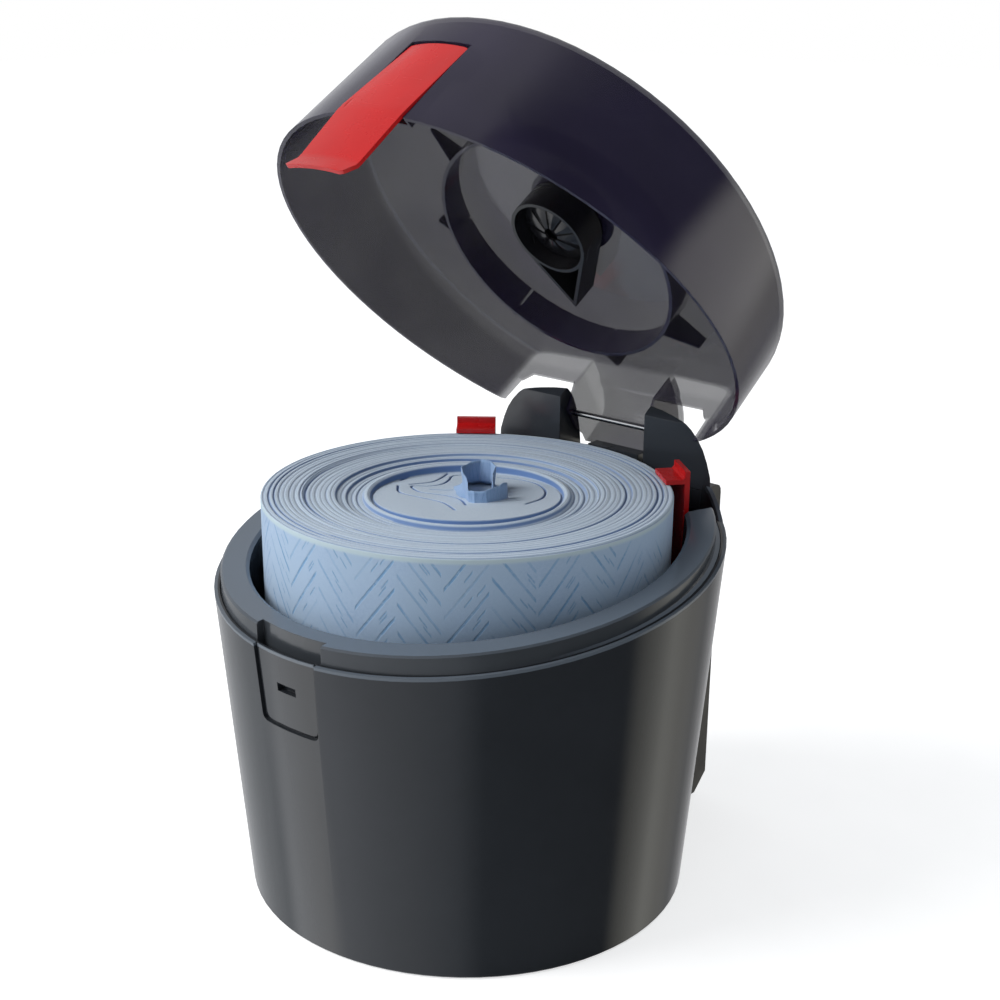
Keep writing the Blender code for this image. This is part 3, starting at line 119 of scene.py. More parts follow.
# How opaque each face of the lid's wall is, and what each place adds to that
smoke_opacity = 0.790
smoke_top = -0.05
smoke_rear = -0.09
smoke_pocket = -0.29
smoke_cloud = 0.04
smoke_edge_on = 0.20
smoke_densest = 0.985
smoke_cloud_band = (0.30, 0.70)
smoke_edge_band = (0.45, 1.0)
smoke_shades = ((0.25, (0.018, 0.015, 0.034)), (0.75, (0.034, 0.027, 0.064)))
smoke_roughness = (0.07, 0.12)
smoke_haze_band = (0.3, 0.7)

# Moulded plastic: shades of its flow marks, its hair scratches, and what smudges do to its roughness
flow_shades = ((0.3, 0.9), (0.7, 1.12))
scratch_turn = (0.3, 0.5, 0.2)
scratch_stretch = (40.0, 900.0, 60.0)
scratch_band = (0.68, 0.74)
scratch_roughness = 0.05
smudge_band = (0.3, 0.75)
smudge_shares = (0.88, 1.25)
wave_to_grain = 4.0

# Drawn steel
steel_colour = (0.56, 0.57, 0.58)
steel_shades = ((0.2, 0.72), (0.8, 1.15))
steel_band = (0.2, 0.8)
steel_stretch = (60.0, 2400.0, 2400.0)
steel_roughness = (0.18, 0.36)

# Roll of wipes: rings and steps of its mesh
roll_radius = roll_high.x
roll_top = roll_high.z
roll_foot = roll_low.z
roll_steps = 600
roll_row_width = 0.26 * mm
roll_rim_inset = 0.3 * mm
roll_eye_radius = 0.5 * mm
# Its plies: pitch, depth and width of the grooves between them, and how unevenly they stand
roll_pitch = 2.5 * mm
roll_groove_depth = 0.95 * mm
roll_groove_width = 0.17
roll_groove_least = 0.25
ply_unevenness = 0.45 * mm
ply_noise_scale = 0.8
ply_noise_seed = 3.1
ply_noise_stride = 6
ply_noise_window = 7
ply_start = 1.5 * mm
ply_fade = 2.0 * mm
scatter_turn = 12.9898
scatter_stretch = 43758.5453
# Its crest and sunk middle, and how far below the roll's top the tail's foot is reckoned
roll_crest_radius = 48.6 * mm
roll_floor_radius = 45.2 * mm
roll_floor_drop = 6.2 * mm
# Its side: rows, and the slight waves round it
roll_side_rows = 10
side_top_drop = 1.1 * mm
side_inset = 0.1 * mm
side_wave_height = 0.12 * mm
side_waves = 5
side_wave_shift = 0.8
# Upper face of the roll: radius and drop below its highest level, in millimetres
roll_profile = (
    (100.0, 1.0), (99.4, 0.25), (98.2, 0.0), (90.0, 0.15), (80.0, 0.4), (79.2, 1.1), (72.0, 1.2), (64.0, 1.3),
    (63.2, 2.6), (58.6, 2.6), (57.9, 3.7), (53.0, 3.6), (51.0, 3.5), (50.0, 2.4), (48.6, 2.0), (47.2, 2.8),
    (46.2, 4.8), (45.4, 3.7), (24.0, 3.6), (0.0, 3.4))
# How much further it drops towards the front right, and less away from there
roll_lean = (
    (100.0, 0.0), (64.0, 0.0), (62.0, 0.2), (57.0, 0.4), (51.0, 0.9), (50.0, 0.1), (48.6, 0.0), (47.2, 0.3),
    (46.2, -1.1), (45.4, -2.6), (0.0, 0.0))
roll_lean_turn = math.radians(42.0)
# Folds in the loose middle of the roll, seen from above, in millimetres
roll_folds = (
    ((-45.2, -0.5), (-47.0, 16.3), (-45.6, 28.0), (-36.0, 40.0), (-22.1, 47.0), (-8.0, 48.5)),
    ((-12.1, 37.3), (-2.4, 41.6), (9.4, 41.0), (22.0, 33.0), (30.5, 20.0), (32.0, 6.0)),
    ((-31.2, -6.2), (-33.4, -3.2), (-27.3, 2.9), (-25.6, 10.2), (-28.0, 17.2), (-31.8, 24.3), (-29.0, 30.5)),
    ((-36.5, -2.2), (-32.3, 8.5), (-33.6, 17.6), (-37.0, 25.9)),
    ((-31.2, -6.2), (-23.1, -9.2), (-12.8, -7.1), (-3.7, -6.2), (3.5, -8.3), (11.9, -14.2)),
    ((-22.8, -1.8), (-17.1, 1.0), (-10.4, 7.0)),
    ((-39.0, -8.0), (-29.0, -17.0), (-14.0, -17.0), (0.0, -17.5), (14.0, -24.0)),
)
fold_curve_steps = 8
roll_fold_depth = 1.3 * mm
roll_fold_width = 0.42 * mm
fold_reach = 1.5 * mm
fold_fade = 1.0 * mm
# Slow swells of the loose middle: waves per metre, height, and the width over which they start
swell_waves = (75.0, 25.0, 60.0)
swell_height = 0.5 * mm
swell_fade = 12.0 * mm
# How much painted shade a groove, a fold and the hollow round the tail get
groove_shade = 0.95
fold_shade = 0.90
hollow_shade = 0.75

# Tail of the first wipe: its way seen from above, and the height of its free edge, in millimetres
tail_way = (
    (13.0, 3.7, 11.0), (5.6, 10.8, 12.0), (3.2, 16.5, 14.5), (-1.4, 18.3, 15.0),
    (-6.5, 16.7, 15.0), (-9.1, 12.0, 14.5), (-9.0, 7.5, 14.0), (-3.0, 1.0, 13.5),
    (4.6, -4.4, 13.5), (7.0, -6.4, 12.0), (9.5, -9.0, 9.6), (13.0, -8.9, 9.4),
    (16.6, -4.7, 10.4), (18.2, 2.4, 11.2), (17.5, 7.9, 11.6))
# The hollow it stands in: centre and radius in millimetres, and depth
tail_hollow = ((4.0, 5.0), 7.5)
tail_hollow_depth = 2.6 * mm
# How far it reaches into the roll, its rows, and the parts of each stretch of its way
tail_sink = 9.0 * mm
tail_rows = 14
tail_parts = 4
tail_thickness = 0.45 * mm
tail_sharp_angle = 18.0
# Its ragged free edge, how it widens upwards and at its foot, and how it is crumpled:
# the shift sets the noise for its two directions apart
tail_middle = 5.0 * mm
tail_ragged = 1.0 * mm
tail_ragged_scale = 0.31
tail_ragged_seed = 4.7
tail_flare = 0.08
tail_foot_height = 6.0 * mm
tail_foot_split = 2.0 * mm
tail_foot_left = 0.80
tail_foot_right = 0.10
tail_crumple = 0.9 * mm
tail_crumple_scale = (130.0, 130.0, 90.0)
tail_crumple_gain = 1.5
tail_crumple_shift = (31.7, 11.3, 5.1)

# Paper of the wipes: its faces, its cut edges above, the roll's rim and plies, painted shade on the roll's
# steps and in its creases, and the tail's deeper blue that paints its shade
paper_face = ((0.25, (0.320, 0.440, 0.610)), (0.75, (0.400, 0.520, 0.680)))
paper_cloud = (0.370, 0.490, 0.640)
paper_cloud_band = (0.3, 0.7)
paper_cut = ((0.2, (0.520, 0.630, 0.740)), (0.8, (0.640, 0.730, 0.820)))
paper_rim = (0.480, 0.590, 0.640)
# Painted shade: the darker blue on the steep steps of the roll's top
paper_step_shade = (0.130, 0.230, 0.470)
# Painted shade: the darkest blue, in the roll's grooves, folds and the hollow round the tail
paper_crease_shade = (0.055, 0.100, 0.260)
paper_ply = (0.250, 0.350, 0.520)
# Painted shade: the tail's deeper blue stands for the shade in and through the thin sheet
paper_tail_shade = (0.240, 0.390, 0.680)
# Depths below the roll's top, and insets from its side, over which those tints change
rim_band = (3.6 * mm, 1.6 * mm)
print_edge = (3.2 * mm, 2.0 * mm)
step_shade_inset = (4.0 * mm, 1.5 * mm)
ply_line_scale = 430.0
ply_line_band = (0.0, 0.5)
ply_line_strength = 0.60
# How far a face of the roll looks up where its side pattern ends, and where its cut edges show
side_facing = (0.05, 0.25)
top_facing = (0.35, 0.93)

# Herringbone pressed and printed on the paper: bands run from full to none, as shares of a pitch or a column
print_colour = (0.100, 0.265, 0.490)
print_strength = 0.72
print_tail_strength = 0.6
print_columns = 30
print_pitch = 13.5 * mm
print_rise = 2.0
print_wobble = 0.06
print_line = (0.040, 0.095)
print_column_edge = (0.455, 0.485)
print_tick_place = 0.43
print_tick_shift = 0.4
print_tick_width = (0.030, 0.055)
print_tick_length = (0.07, 0.10)
print_tick_strength = 0.7
# How noise and chance weaken it: from, to, least and full strength
print_breaks = (0.34, 0.50, 0.55, 1.0)
print_wear = (0.30, 0.60, 0.35, 1.0)
print_chance = (0.0, 0.6, 0.35, 1.0)

# Lamps, and the point they face
key_place = (-0.85, -1.05, 1.15)
key_size = 1.3
key_power = 24.0
fill_place = (0.9, 0.6, 1.5)
fill_size = 1.1
fill_power = 3.0
lamp_aim = (0.0, 0.0, 0.2)

# Studio: plain light, and what glossy rays see round the object, by shares of a turn.
# 0 and 1 look behind the object (+Y), 0.25 to its left (-X), 0.5 in front, 0.75 to its right.
ambient_colour = (0.90, 0.95, 1.0)
ambient_power = 0.36
gloss_gain = 0.5
studio_bands = (
    (0.000, (0.20, 0.20, 0.20)), (0.083, (0.38, 0.38, 0.39)), (0.306, (0.45, 0.47, 0.49)),
    (0.333, (0.95, 0.97, 1.00)), (0.395, (1.00, 1.00, 1.00)), (0.425, (0.66, 0.68, 0.72)),
    (0.536, (0.46, 0.48, 0.51)), (0.600, (0.30, 0.32, 0.35)), (0.640, (0.07, 0.08, 0.09)),
    (0.840, (0.03, 0.03, 0.03)), (0.862, (0.34, 0.33, 0.29)), (0.917, (0.72, 0.71, 0.65)),
    (0.955, (0.40, 0.39, 0.36)), (1.000, (0.20, 0.20, 0.20)))
# The same for rays that look up: it takes over between these heights of their direction
studio_raised = (
    (0.000, (0.16, 0.16, 0.17)), (0.100, (0.36, 0.36, 0.36)), (0.220, (0.30, 0.30, 0.30)),
    (0.400, (0.40, 0.40, 0.42)), (0.640, (0.03, 0.03, 0.05)), (0.880, (0.03, 0.03, 0.04)),
    (1.000, (0.16, 0.16, 0.17)))
raised_height = (0.22, 0.40)
# A pale beam at the rear right, with its strength by turn: it fades out below these heights
beam_turns = ((0.000, 0.0), (0.835, 0.0), (0.860, 1.0), (0.930, 1.0), (0.960, 0.0))
beam_colour = (0.95, 0.93, 0.88)
beam_height = (-0.35, -0.05)

# Floor: its shades, and its glow to the camera by distance from the object
floor_reach = 6.0
floor_shades = ((0.3, (0.80, 0.80, 0.80)), (0.7, (0.84, 0.84, 0.84)))
floor_glow = (0.62, 0.80)
floor_glow_distance = (0.30, 2.00)


# Node helpers


def node(tree, kind, *values, **settings):
    """A shader node, with its inputs given in order and its settings by name."""
    made = tree.nodes.new("ShaderNode" + kind)
    for name, value in settings.items():
        setattr(made, name, value)
    for socket, value in zip(made.inputs, values):
        feed(tree, socket, value)
    return made


def feed(tree, socket, value):
    """Link a socket to another, or set its constant. A colour is opaque."""
    if value is None:
        return
    if isinstance(value, bpy.types.NodeSocket):
        tree.links.new(value, socket)
    elif socket.type == "RGBA":
        socket.default_value = (*value, 1.0)
    else:
        socket.default_value = value


def maths(tree, operation, *values):
    """One step of arithmetic."""
    return node(tree, "Math", *values, operation=operation).outputs[0]


def product(tree, first, second):
    """Two values multiplied."""
    return maths(tree, "MULTIPLY", first, second)


def speckle(tree, point, scale, detail=3.0, roughness=0.55):
    """Smooth noise from 0 to 1."""
    made = node(tree, "TexNoise", point)
    made.inputs["Scale"].default_value = scale
    made.inputs["Detail"].default_value = detail
    made.inputs["Roughness"].default_value = roughness
    return made.outputs["Fac"]


def ramp(tree, factor, stops):
    """A colour for each value of a factor."""
    made = node(tree, "ValToRGB", factor)
    marks = made.color_ramp.elements
    while len(marks) < len(stops):
        marks.new(0.5)
    for mark, (place, colour) in zip(marks, stops):
        mark.position = place
        mark.color = (*colour, 1.0)
    return made.outputs["Color"]


def blend_colour(tree, factor, first, second):
    """A mix of two colours."""
    made = node(tree, "Mix", data_type="RGBA", blend_type="MIX")
    feed(tree, made.inputs[0], factor)
    feed(tree, made.inputs[6], first)
    feed(tree, made.inputs[7], second)
    return made.outputs[2]


def span(tree, value, low, high, to_low=0.0, to_high=1.0):
    """A value carried smoothly from one range to another."""
    made = node(tree, "MapRange", value, low, high, to_low, to_high)
    made.interpolation_type = "SMOOTHSTEP"
    return made.outputs[0]


def fall(tree, value, low, high):
    """1 up to the low end of a range, 0 from its high end."""
    return span(tree, value, low, high, 1.0, 0.0)


def relief(tree, height, distance, strength=1.0, normal=None):
    """Bump from a height."""
    made = node(tree, "Bump")
    made.inputs["Strength"].default_value = strength
    made.inputs["Distance"].default_value = distance
    feed(tree, made.inputs["Height"], height)
    feed(tree, made.inputs["Normal"], normal)
    return made.outputs[0]


def rounded(tree, radius):
    """Normals of edges rounded to a radius."""
    made = node(tree, "Bevel", samples=bevel_samples)
    made.inputs["Radius"].default_value = radius
    return made.outputs[0]


def stretched(tree, point, turn, scale):
    """Coordinates turned and scaled."""
    return node(tree, "Mapping", point, origin, turn, scale).outputs[0]


def level_distance(tree, place):
    """Distance from the upright axis through the origin."""
    flat = node(tree, "CombineXYZ", *place.outputs[:2]).outputs[0]
    return node(tree, "VectorMath", flat, operation="LENGTH").outputs["Value"]


def new_material(name):
    """A material and its tree, Principled shader and object coordinates."""
    material = bpy.data.materials.new(name)
    material.use_nodes = True
    tree = material.node_tree
    shader = tree.nodes["Principled BSDF"]
    point = node(tree, "TexCoord").outputs["Object"]
    return material, tree, shader, point


def shades(colour, stops):
    """Stops of a ramp: a colour made lighter or darker by each factor."""
    return [(place, tuple(min(1.0, part * factor) for part in colour)) for place, factor in stops]


# Materials


def moulded_plastic(name, colour, roughness, edge=0.35 * mm, grain=0.012 * mm, painted_light_accent=None):
    """Moulded plastic: faint flow marks, fine grain, a few hair scratches and rounded edges.

    An accent is painted light: a function of tree and point that gives a factor, with its painted colour,
    lighter than the plastic, found where it is 1.
    """
    material, tree, shader, point = new_material(name)
    surface = ramp(tree, speckle(tree, point, scale=14.0, detail=4.0), shades(colour, flow_shades))
    if painted_light_accent:
        factor, painted_light_colour = painted_light_accent
        surface = blend_colour(tree, factor(tree, point), surface, painted_light_colour)
    tree.links.new(surface, shader.inputs["Base Color"])
    hairs = speckle(tree, stretched(tree, point, scratch_turn, scratch_stretch), scale=1.0, detail=2.0)
    scratches = span(tree, hairs, *scratch_band)
    smudges = speckle(tree, point, scale=45.0, detail=5.0, roughness=0.6)
    dull = span(tree, smudges, *smudge_band, *(roughness * share for share in smudge_shares))
    scratched = maths(tree, "MULTIPLY_ADD", scratches, scratch_roughness, dull)
    tree.links.new(scratched, shader.inputs["Roughness"])
    grains = speckle(tree, point, scale=2600.0, detail=2.0)
    fine = relief(tree, grains, distance=grain, strength=0.35, normal=rounded(tree, edge))
    waves = speckle(tree, point, scale=26.0, detail=1.0)
    wavy = relief(tree, waves, distance=grain * wave_to_grain, strength=0.25, normal=fine)
    tree.links.new(wavy, shader.inputs["Normal"])
    return material


def lip_painted_highlight(tree, point):
    """1 on the outer edge of the bucket's lip, where a pale highlight is painted."""
    place = node(tree, "SeparateXYZ", point)
    level = maths(tree, "MULTIPLY_ADD", place.outputs[1], -lip_slope, place.outputs[2])
    high = span(tree, level, lip_level - highlight_height, lip_level - highlight_height + highlight_fade)
    out = level_distance(tree, place)
    wall = maths(tree, "MULTIPLY_ADD", place.outputs[2], bucket_taper, bucket_foot_radius)
    inset = maths(tree, "SUBTRACT", wall, out)
    return product(tree, high, fall(tree, inset, highlight_width, highlight_width + highlight_fade))


def painted_top_light(tree, point):
    """1 on faces that look up, where a paler light is painted."""
    normal = node(tree, "SeparateXYZ", node(tree, "NewGeometry").outputs["Normal"])
    return span(tree, normal.outputs[2], *painted_top_light_span)


def drawn_steel(name):
    """Bright steel with marks along its length."""
    material, tree, shader, point = new_material(name)
    marks = speckle(tree, stretched(tree, point, origin, steel_stretch), scale=1.0, detail=4.0, roughness=0.6)
    tree.links.new(ramp(tree, marks, shades(steel_colour, steel_shades)), shader.inputs["Base Color"])
    tree.links.new(span(tree, marks, *steel_band, *steel_roughness), shader.inputs["Roughness"])
    shader.inputs["Metallic"].default_value = 1.0
    drawn = relief(tree, marks, distance=0.01 * mm, strength=0.4, normal=rounded(tree, 0.15 * mm))
    tree.links.new(drawn, shader.inputs["Normal"])
    return material


def smoke_plastic(name):
    """Smoke-tinted clear plastic: clearer in the ear pockets and the top, denser where seen edge-on."""
    material, tree, shader, point = new_material(name)
    closed = node(tree, "VectorRotate", point, rotation_type="X_AXIS")
    closed.inputs["Center"].default_value = (0.0, hinge_y, hinge_z)
    closed.inputs["Angle"].default_value = lid_angle
    place = node(tree, "SeparateXYZ", closed.outputs[0])
    sideways = maths(tree, "ABSOLUTE", place.outputs[0])
    behind = span(tree, place.outputs[1], *lid_rear)
    beside = span(tree, sideways, *lid_pocket_side)
    above = span(tree, place.outputs[2], *lid_top)
    clouds = speckle(tree, point, scale=11.0)
    edge_on = node(tree, "LayerWeight", 0.35).outputs["Facing"]
    alpha = smoke_opacity
    for share, change in (
            (above, smoke_top),
            (behind, smoke_rear),
            (product(tree, behind, beside), smoke_pocket),
            (span(tree, clouds, *smoke_cloud_band), smoke_cloud),
            (span(tree, edge_on, *smoke_edge_band), smoke_edge_on)):
        alpha = maths(tree, "MULTIPLY_ADD", share, change, alpha)
    tree.links.new(maths(tree, "MINIMUM", alpha, smoke_densest), shader.inputs["Alpha"])
    tree.links.new(ramp(tree, clouds, smoke_shades), shader.inputs["Base Color"])
    haze = speckle(tree, point, scale=70.0, detail=5.0, roughness=0.6)
    tree.links.new(span(tree, haze, *smoke_haze_band, *smoke_roughness), shader.inputs["Roughness"])
    shader.inputs["Specular IOR Level"].default_value = 0.55
    waves = speckle(tree, point, scale=30.0, detail=1.0)
    wavy = relief(tree, waves, distance=0.06 * mm, strength=0.3, normal=rounded(tree, 0.3 * mm))
    tree.links.new(wavy, shader.inputs["Normal"])
    return material


def herringbone(tree, point):
    """Lines of a plain herringbone round the roll, from 0 to 1, with short ticks between them."""
    place = node(tree, "SeparateXYZ", point)
    angle = maths(tree, "ARCTAN2", place.outputs[0], place.outputs[1])
    turn = maths(tree, "MULTIPLY_ADD", angle, print_columns / math.tau, print_columns)
    across = maths(tree, "SUBTRACT", maths(tree, "FRACT", turn), 0.5)
    column = maths(tree, "FLOOR", turn)
    odd = maths(tree, "MODULO", column, 2.0)
    sign = maths(tree, "MULTIPLY_ADD", odd, -2.0, 1.0)
    height = product(tree, place.outputs[2], 1 / print_pitch)
    rise = product(tree, product(tree, across, sign), print_rise)
    slanted = maths(tree, "MULTIPLY_ADD", odd, 0.5, maths(tree, "SUBTRACT", height, rise))
    unsteady = speckle(tree, point, scale=260.0, detail=2.0)
    wobble = maths(tree, "MULTIPLY_ADD", unsteady, print_wobble, -print_wobble / 2)
    drawn = maths(tree, "ADD", slanted, wobble)
    lane = maths(tree, "ABSOLUTE", maths(tree, "SUBTRACT", maths(tree, "FRACT", drawn), 0.5))
    line = fall(tree, lane, *print_line)
    inside = fall(tree, maths(tree, "ABSOLUTE", across), *print_column_edge)
    key = node(tree, "CombineXYZ", maths(tree, "FLOOR", drawn), column, 0.0).outputs[0]
    chance = node(tree, "TexWhiteNoise", key).outputs["Value"]
    broken = span(tree, speckle(tree, point, scale=600.0, detail=2.0), *print_breaks)
    worn = span(tree, speckle(tree, point, scale=45.0, detail=2.0), *print_wear)
    strength = product(tree, worn, span(tree, chance, *print_chance))
    long_marks = product(tree, product(tree, line, inside), strength)
    shifted = maths(tree, "MULTIPLY_ADD", chance, print_tick_shift, across)
    near = fall(tree, maths(tree, "ABSOLUTE", shifted), *print_tick_length)
    beside = maths(tree, "ABSOLUTE", maths(tree, "SUBTRACT", lane, print_tick_place))
    ticks = product(tree, product(tree, fall(tree, beside, *print_tick_width), near), print_tick_strength)
    return product(tree, maths(tree, "MAXIMUM", long_marks, ticks), broken)


def roll_depth_span(tree, place, depths):
    """A change from 0 to 1 between two depths below the roll's top."""
    lower, upper = depths
    return span(tree, place.outputs[2], roll_top - lower, roll_top - upper)


def wipe_paper(name, roll):
    """Soft blue wipes: whitish cut edges above, a blue printed and pressed pattern on the faces."""
    material, tree, shader, point = new_material(name)
    normal = node(tree, "SeparateXYZ", node(tree, "NewGeometry").outputs["Normal"])
    fibre = speckle(tree, point, scale=700.0, detail=5.0, roughness=0.65)
    cloud = speckle(tree, point, scale=35.0)
    clouded = span(tree, cloud, *paper_cloud_band)
    face = blend_colour(tree, clouded, ramp(tree, fibre, paper_face), paper_cloud)
    marks = herringbone(tree, point)
    if roll:
        place = node(tree, "SeparateXYZ", point)
        side = fall(tree, normal.outputs[2], *side_facing)
        below = fall(tree, place.outputs[2], *(roll_top - depth for depth in print_edge))
        marks = product(tree, marks, product(tree, side, below))
        face = blend_colour(tree, roll_depth_span(tree, place, rim_band), face, paper_rim)
        # Painted shade: faces inside the rim that don't look up, the steps of the roll's top, go darker blue
        within = fall(tree, level_distance(tree, place), *(roll_radius - inset for inset in step_shade_inset))
        face = blend_colour(tree, within, face, paper_step_shade)
        upwards = span(tree, normal.outputs[2], *top_facing)
        cut = roll_cut_edges(tree, point, fibre)
    else:
        # Painted shade: the tail gets a deeper blue
        face = blend_colour(tree, 0.5, face, paper_tail_shade)
        marks = product(tree, marks, print_tail_strength)
    printed = blend_colour(tree, product(tree, marks, print_strength), face, print_colour)
    if roll:
        printed = blend_colour(tree, upwards, printed, cut)
    tree.links.new(printed, shader.inputs["Base Color"])
    shader.inputs["Roughness"].default_value = 0.88
    shader.inputs["Specular IOR Level"].default_value = 0.18
    shader.inputs["Sheen Weight"].default_value = 0.25
    shader.inputs["Sheen Roughness"].default_value = 0.5
    crepe = relief(tree, fibre, distance=0.16 * mm, strength=0.45)
    pressed = relief(tree, product(tree, marks, -1.0), distance=0.25 * mm, strength=0.7, normal=crepe)
    tree.links.new(pressed, shader.inputs["Normal"])
    return material


def roll_cut_edges(tree, point, fibre):
    """Colour of the roll's upper face: pale cut edges, with painted shade in blue in its grooves, folds and
    hollow, and fine plies in blue.
    """
    pale = ramp(tree, fibre, paper_cut)
    crease_shade = node(tree, "Attribute", attribute_name="crease_shade").outputs["Fac"]
    # Painted shade in the grooves, folds and the hollow round the tail
    pale = blend_colour(tree, crease_shade, pale, paper_crease_shade)
    plies = node(tree, "TexWave", point, wave_type="RINGS", rings_direction="Z", wave_profile="SAW")
    plies.inputs["Scale"].default_value = ply_line_scale
    plies.inputs["Distortion"].default_value = 1.4
    plies.inputs["Detail"].default_value = 2.0
    plies.inputs["Detail Scale"].default_value = 0.4
    between = span(tree, plies.outputs["Fac"], *ply_line_band, ply_line_strength, 0.0)
    return blend_colour(tree, between, pale, paper_ply)


# Meshes


def new_piece(name, vertices, faces, material, cad_node):
    """A smooth piece on the bucket that stands for a CAD node."""
    mesh = bpy.data.meshes.new(name)
    mesh.from_pydata(vertices, [], faces)
    mesh.materials.append(material)
    mesh.shade_smooth()
    return settle(name, mesh, "bucket", cad_node)


def settle(name, mesh, body, cad_node):
    """A mesh as an object that rides on a body in a CAD node's place."""
    piece = bpy.data.objects.new(name, mesh)
    bpy.context.scene.collection.objects.link(piece)
    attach(piece, body)
    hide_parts(cad_node)
    return piece


def sink_tab_corners(work):
    """Bring the outer corners of the lever's tabs flush with its bowed plate."""
    hinge_line = Matrix.Translation((0.0, hinge_y, hinge_z))
    closed = hinge_line @ Matrix.Rotation(lid_angle, 4, "X") @ hinge_line.inverted()
    for vertex in work.verts:
        spot = closed @ vertex.co
        beside = abs(abs(spot.x) - tab_corner_x) < tab_corner_slack
        if beside and abs(spot.y - tab_corner_y) < tab_corner_slack:
            spot.y = lever_plate_y + max(0.0, spot.z - lever_bend_z) * lever_plate_lean
            vertex.co = closed.inverted() @ spot


def welded_copy(cad_node, material):
    """A smooth-shaded copy of a CAD node, its split corners welded, in its place."""
    source = frame["nodes"][cad_node]
    name = cad_node + "_skin"
    mesh = source.data.copy()
    mesh.name = name
    work = bmesh.new()
    work.from_mesh(mesh)
    bmesh.ops.remove_doubles(work, verts=work.verts, dist=weld_distance)
    bmesh.ops.dissolve_degenerate(work, edges=work.edges, dist=sliver_width)
    if cad_node == "latch_lever":
        sink_tab_corners(work)
    work.to_mesh(mesh)
    work.free()
    if mesh.has_custom_normals:
        mesh.attributes.remove(mesh.attributes["custom_normal"])
    mesh.materials.clear()
    mesh.materials.append(material)
    mesh.shade_smooth()
    mesh.set_sharp_from_angle(angle=math.radians(sharp_angle))
    settle(name, mesh, source["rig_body"], cad_node)


def profile_drop(radius, profile):
    """The value of a profile at each radius."""
    radii = [pair[0] * mm for pair in reversed(profile)]
    drops = [pair[1] * mm for pair in reversed(profile)]
    return np.interp(radius, radii, drops)


def smooth_way(points, steps):
    """A Catmull-Rom curve through points."""
    result = []
    count = len(points)
    for i in range(count - 1):
        before = points[max(i - 1, 0)]
        start = points[i]
        end = points[i + 1]
        after = points[min(i + 2, count - 1)]
        for k in range(steps):
            t = k / steps
            result.append(tuple(
                0.5 * (2 * b + (c - a) * t + (2 * a - 5 * b + 4 * c - d) * t ** 2
                       + (3 * b - a - 3 * c + d) * t ** 3)
                for a, b, c, d in zip(before, start, end, after)))
    result.append(tuple(points[-1]))
    return result


def fold_distance(x, y):
    """Distance from each point to the nearest fold line."""
    nearest = np.full(x.shape, 1.0)
    for line in roll_folds:
        points = smooth_way([(px * mm, py * mm) for px, py in line], fold_curve_steps)
        for (ax, ay), (bx, by) in zip(points[:-1], points[1:]):
            dx, dy = bx - ax, by - ay
            along = np.clip(((x - ax) * dx + (y - ay) * dy) / (dx * dx + dy * dy), 0.0, 1.0)
            nearest = np.minimum(nearest, np.hypot(x - ax - along * dx, y - ay - along * dy))
    return nearest


def scatter(number):
    """A repeatable value from 0 to 1 for each whole number, with no order to be seen."""
    return np.mod(np.sin(number * scatter_turn) * scatter_stretch, 1.0)


def ply_noise(radius, turn):
    """Slow noise along the spiral of the plies."""
    along = radius / roll_pitch * ply_noise_scale - turn / math.tau * ply_noise_scale
    return noise.noise(Vector((along, ply_noise_seed, math.sin(turn))))


def ply_levels(radii, turns):
    """How high or low each ply stands, evened out round the roll."""
    coarse = np.array([[ply_noise(r, a) for a in turns[::ply_noise_stride]] for r in radii])
    full = np.repeat(coarse, ply_noise_stride, axis=1)[:, :roll_steps]
    kernel = np.ones(ply_noise_window) / ply_noise_window
    reach = ply_noise_window // 2
    closed = [np.concatenate((row[-reach:], row, row[:reach])) for row in full]
    return np.array([np.convolve(row, kernel, "valid") for row in closed])


def roll_upper_face(radii, turns):
    """The upper face of the roll: x, y and z of its points, and how much painted shade each gets in a crease.
    """
    radius, angle = np.meshgrid(radii, turns, indexing="ij")
    x = radius * np.sin(angle)
    y = -radius * np.cos(angle)
    phase = radius / roll_pitch - angle / math.tau
    lane = np.mod(phase, 1.0) - 0.5
    depth = roll_groove_least + (1.0 - roll_groove_least) * scatter(np.floor(phase)) ** 2
    groove = depth * np.exp(-(lane / roll_groove_width) ** 2)
    wound = np.clip((radius - roll_crest_radius - ply_start) / ply_fade, 0.0, 1.0)
    drop = profile_drop(radius, roll_profile)
    drop += profile_drop(radius, roll_lean) * np.cos(angle - roll_lean_turn)
    drop += wound * (groove * roll_groove_depth + ply_unevenness * ply_levels(radii, turns))
    fold = np.exp(-(fold_distance(x, y) / roll_fold_width) ** 2)
    fold *= np.clip((roll_floor_radius + fold_reach - radius) / fold_fade, 0.0, 1.0)
    drop += fold * roll_fold_depth
    (hollow_x, hollow_y), hollow_radius = tail_hollow
    hollow = np.exp(-((x / mm - hollow_x) ** 2 + (y / mm - hollow_y) ** 2) / hollow_radius ** 2)
    drop += hollow * tail_hollow_depth
    wave_x, wave_y, wave_across = swell_waves
    swell = np.sin(x * wave_x + y * wave_y) * np.cos(y * wave_across) * swell_height
    drop -= swell * np.clip((roll_floor_radius - radius) / swell_fade, 0.0, 1.0)
    # How much painted shade each point gets: in grooves between plies, along folds and in the hollow round
    # the tail
    crease_shade = np.maximum(np.maximum(wound * groove * groove_shade, fold * fold_shade), hollow * hollow_shade)
    return x, y, roll_top - np.maximum(drop, 0.0), crease_shade


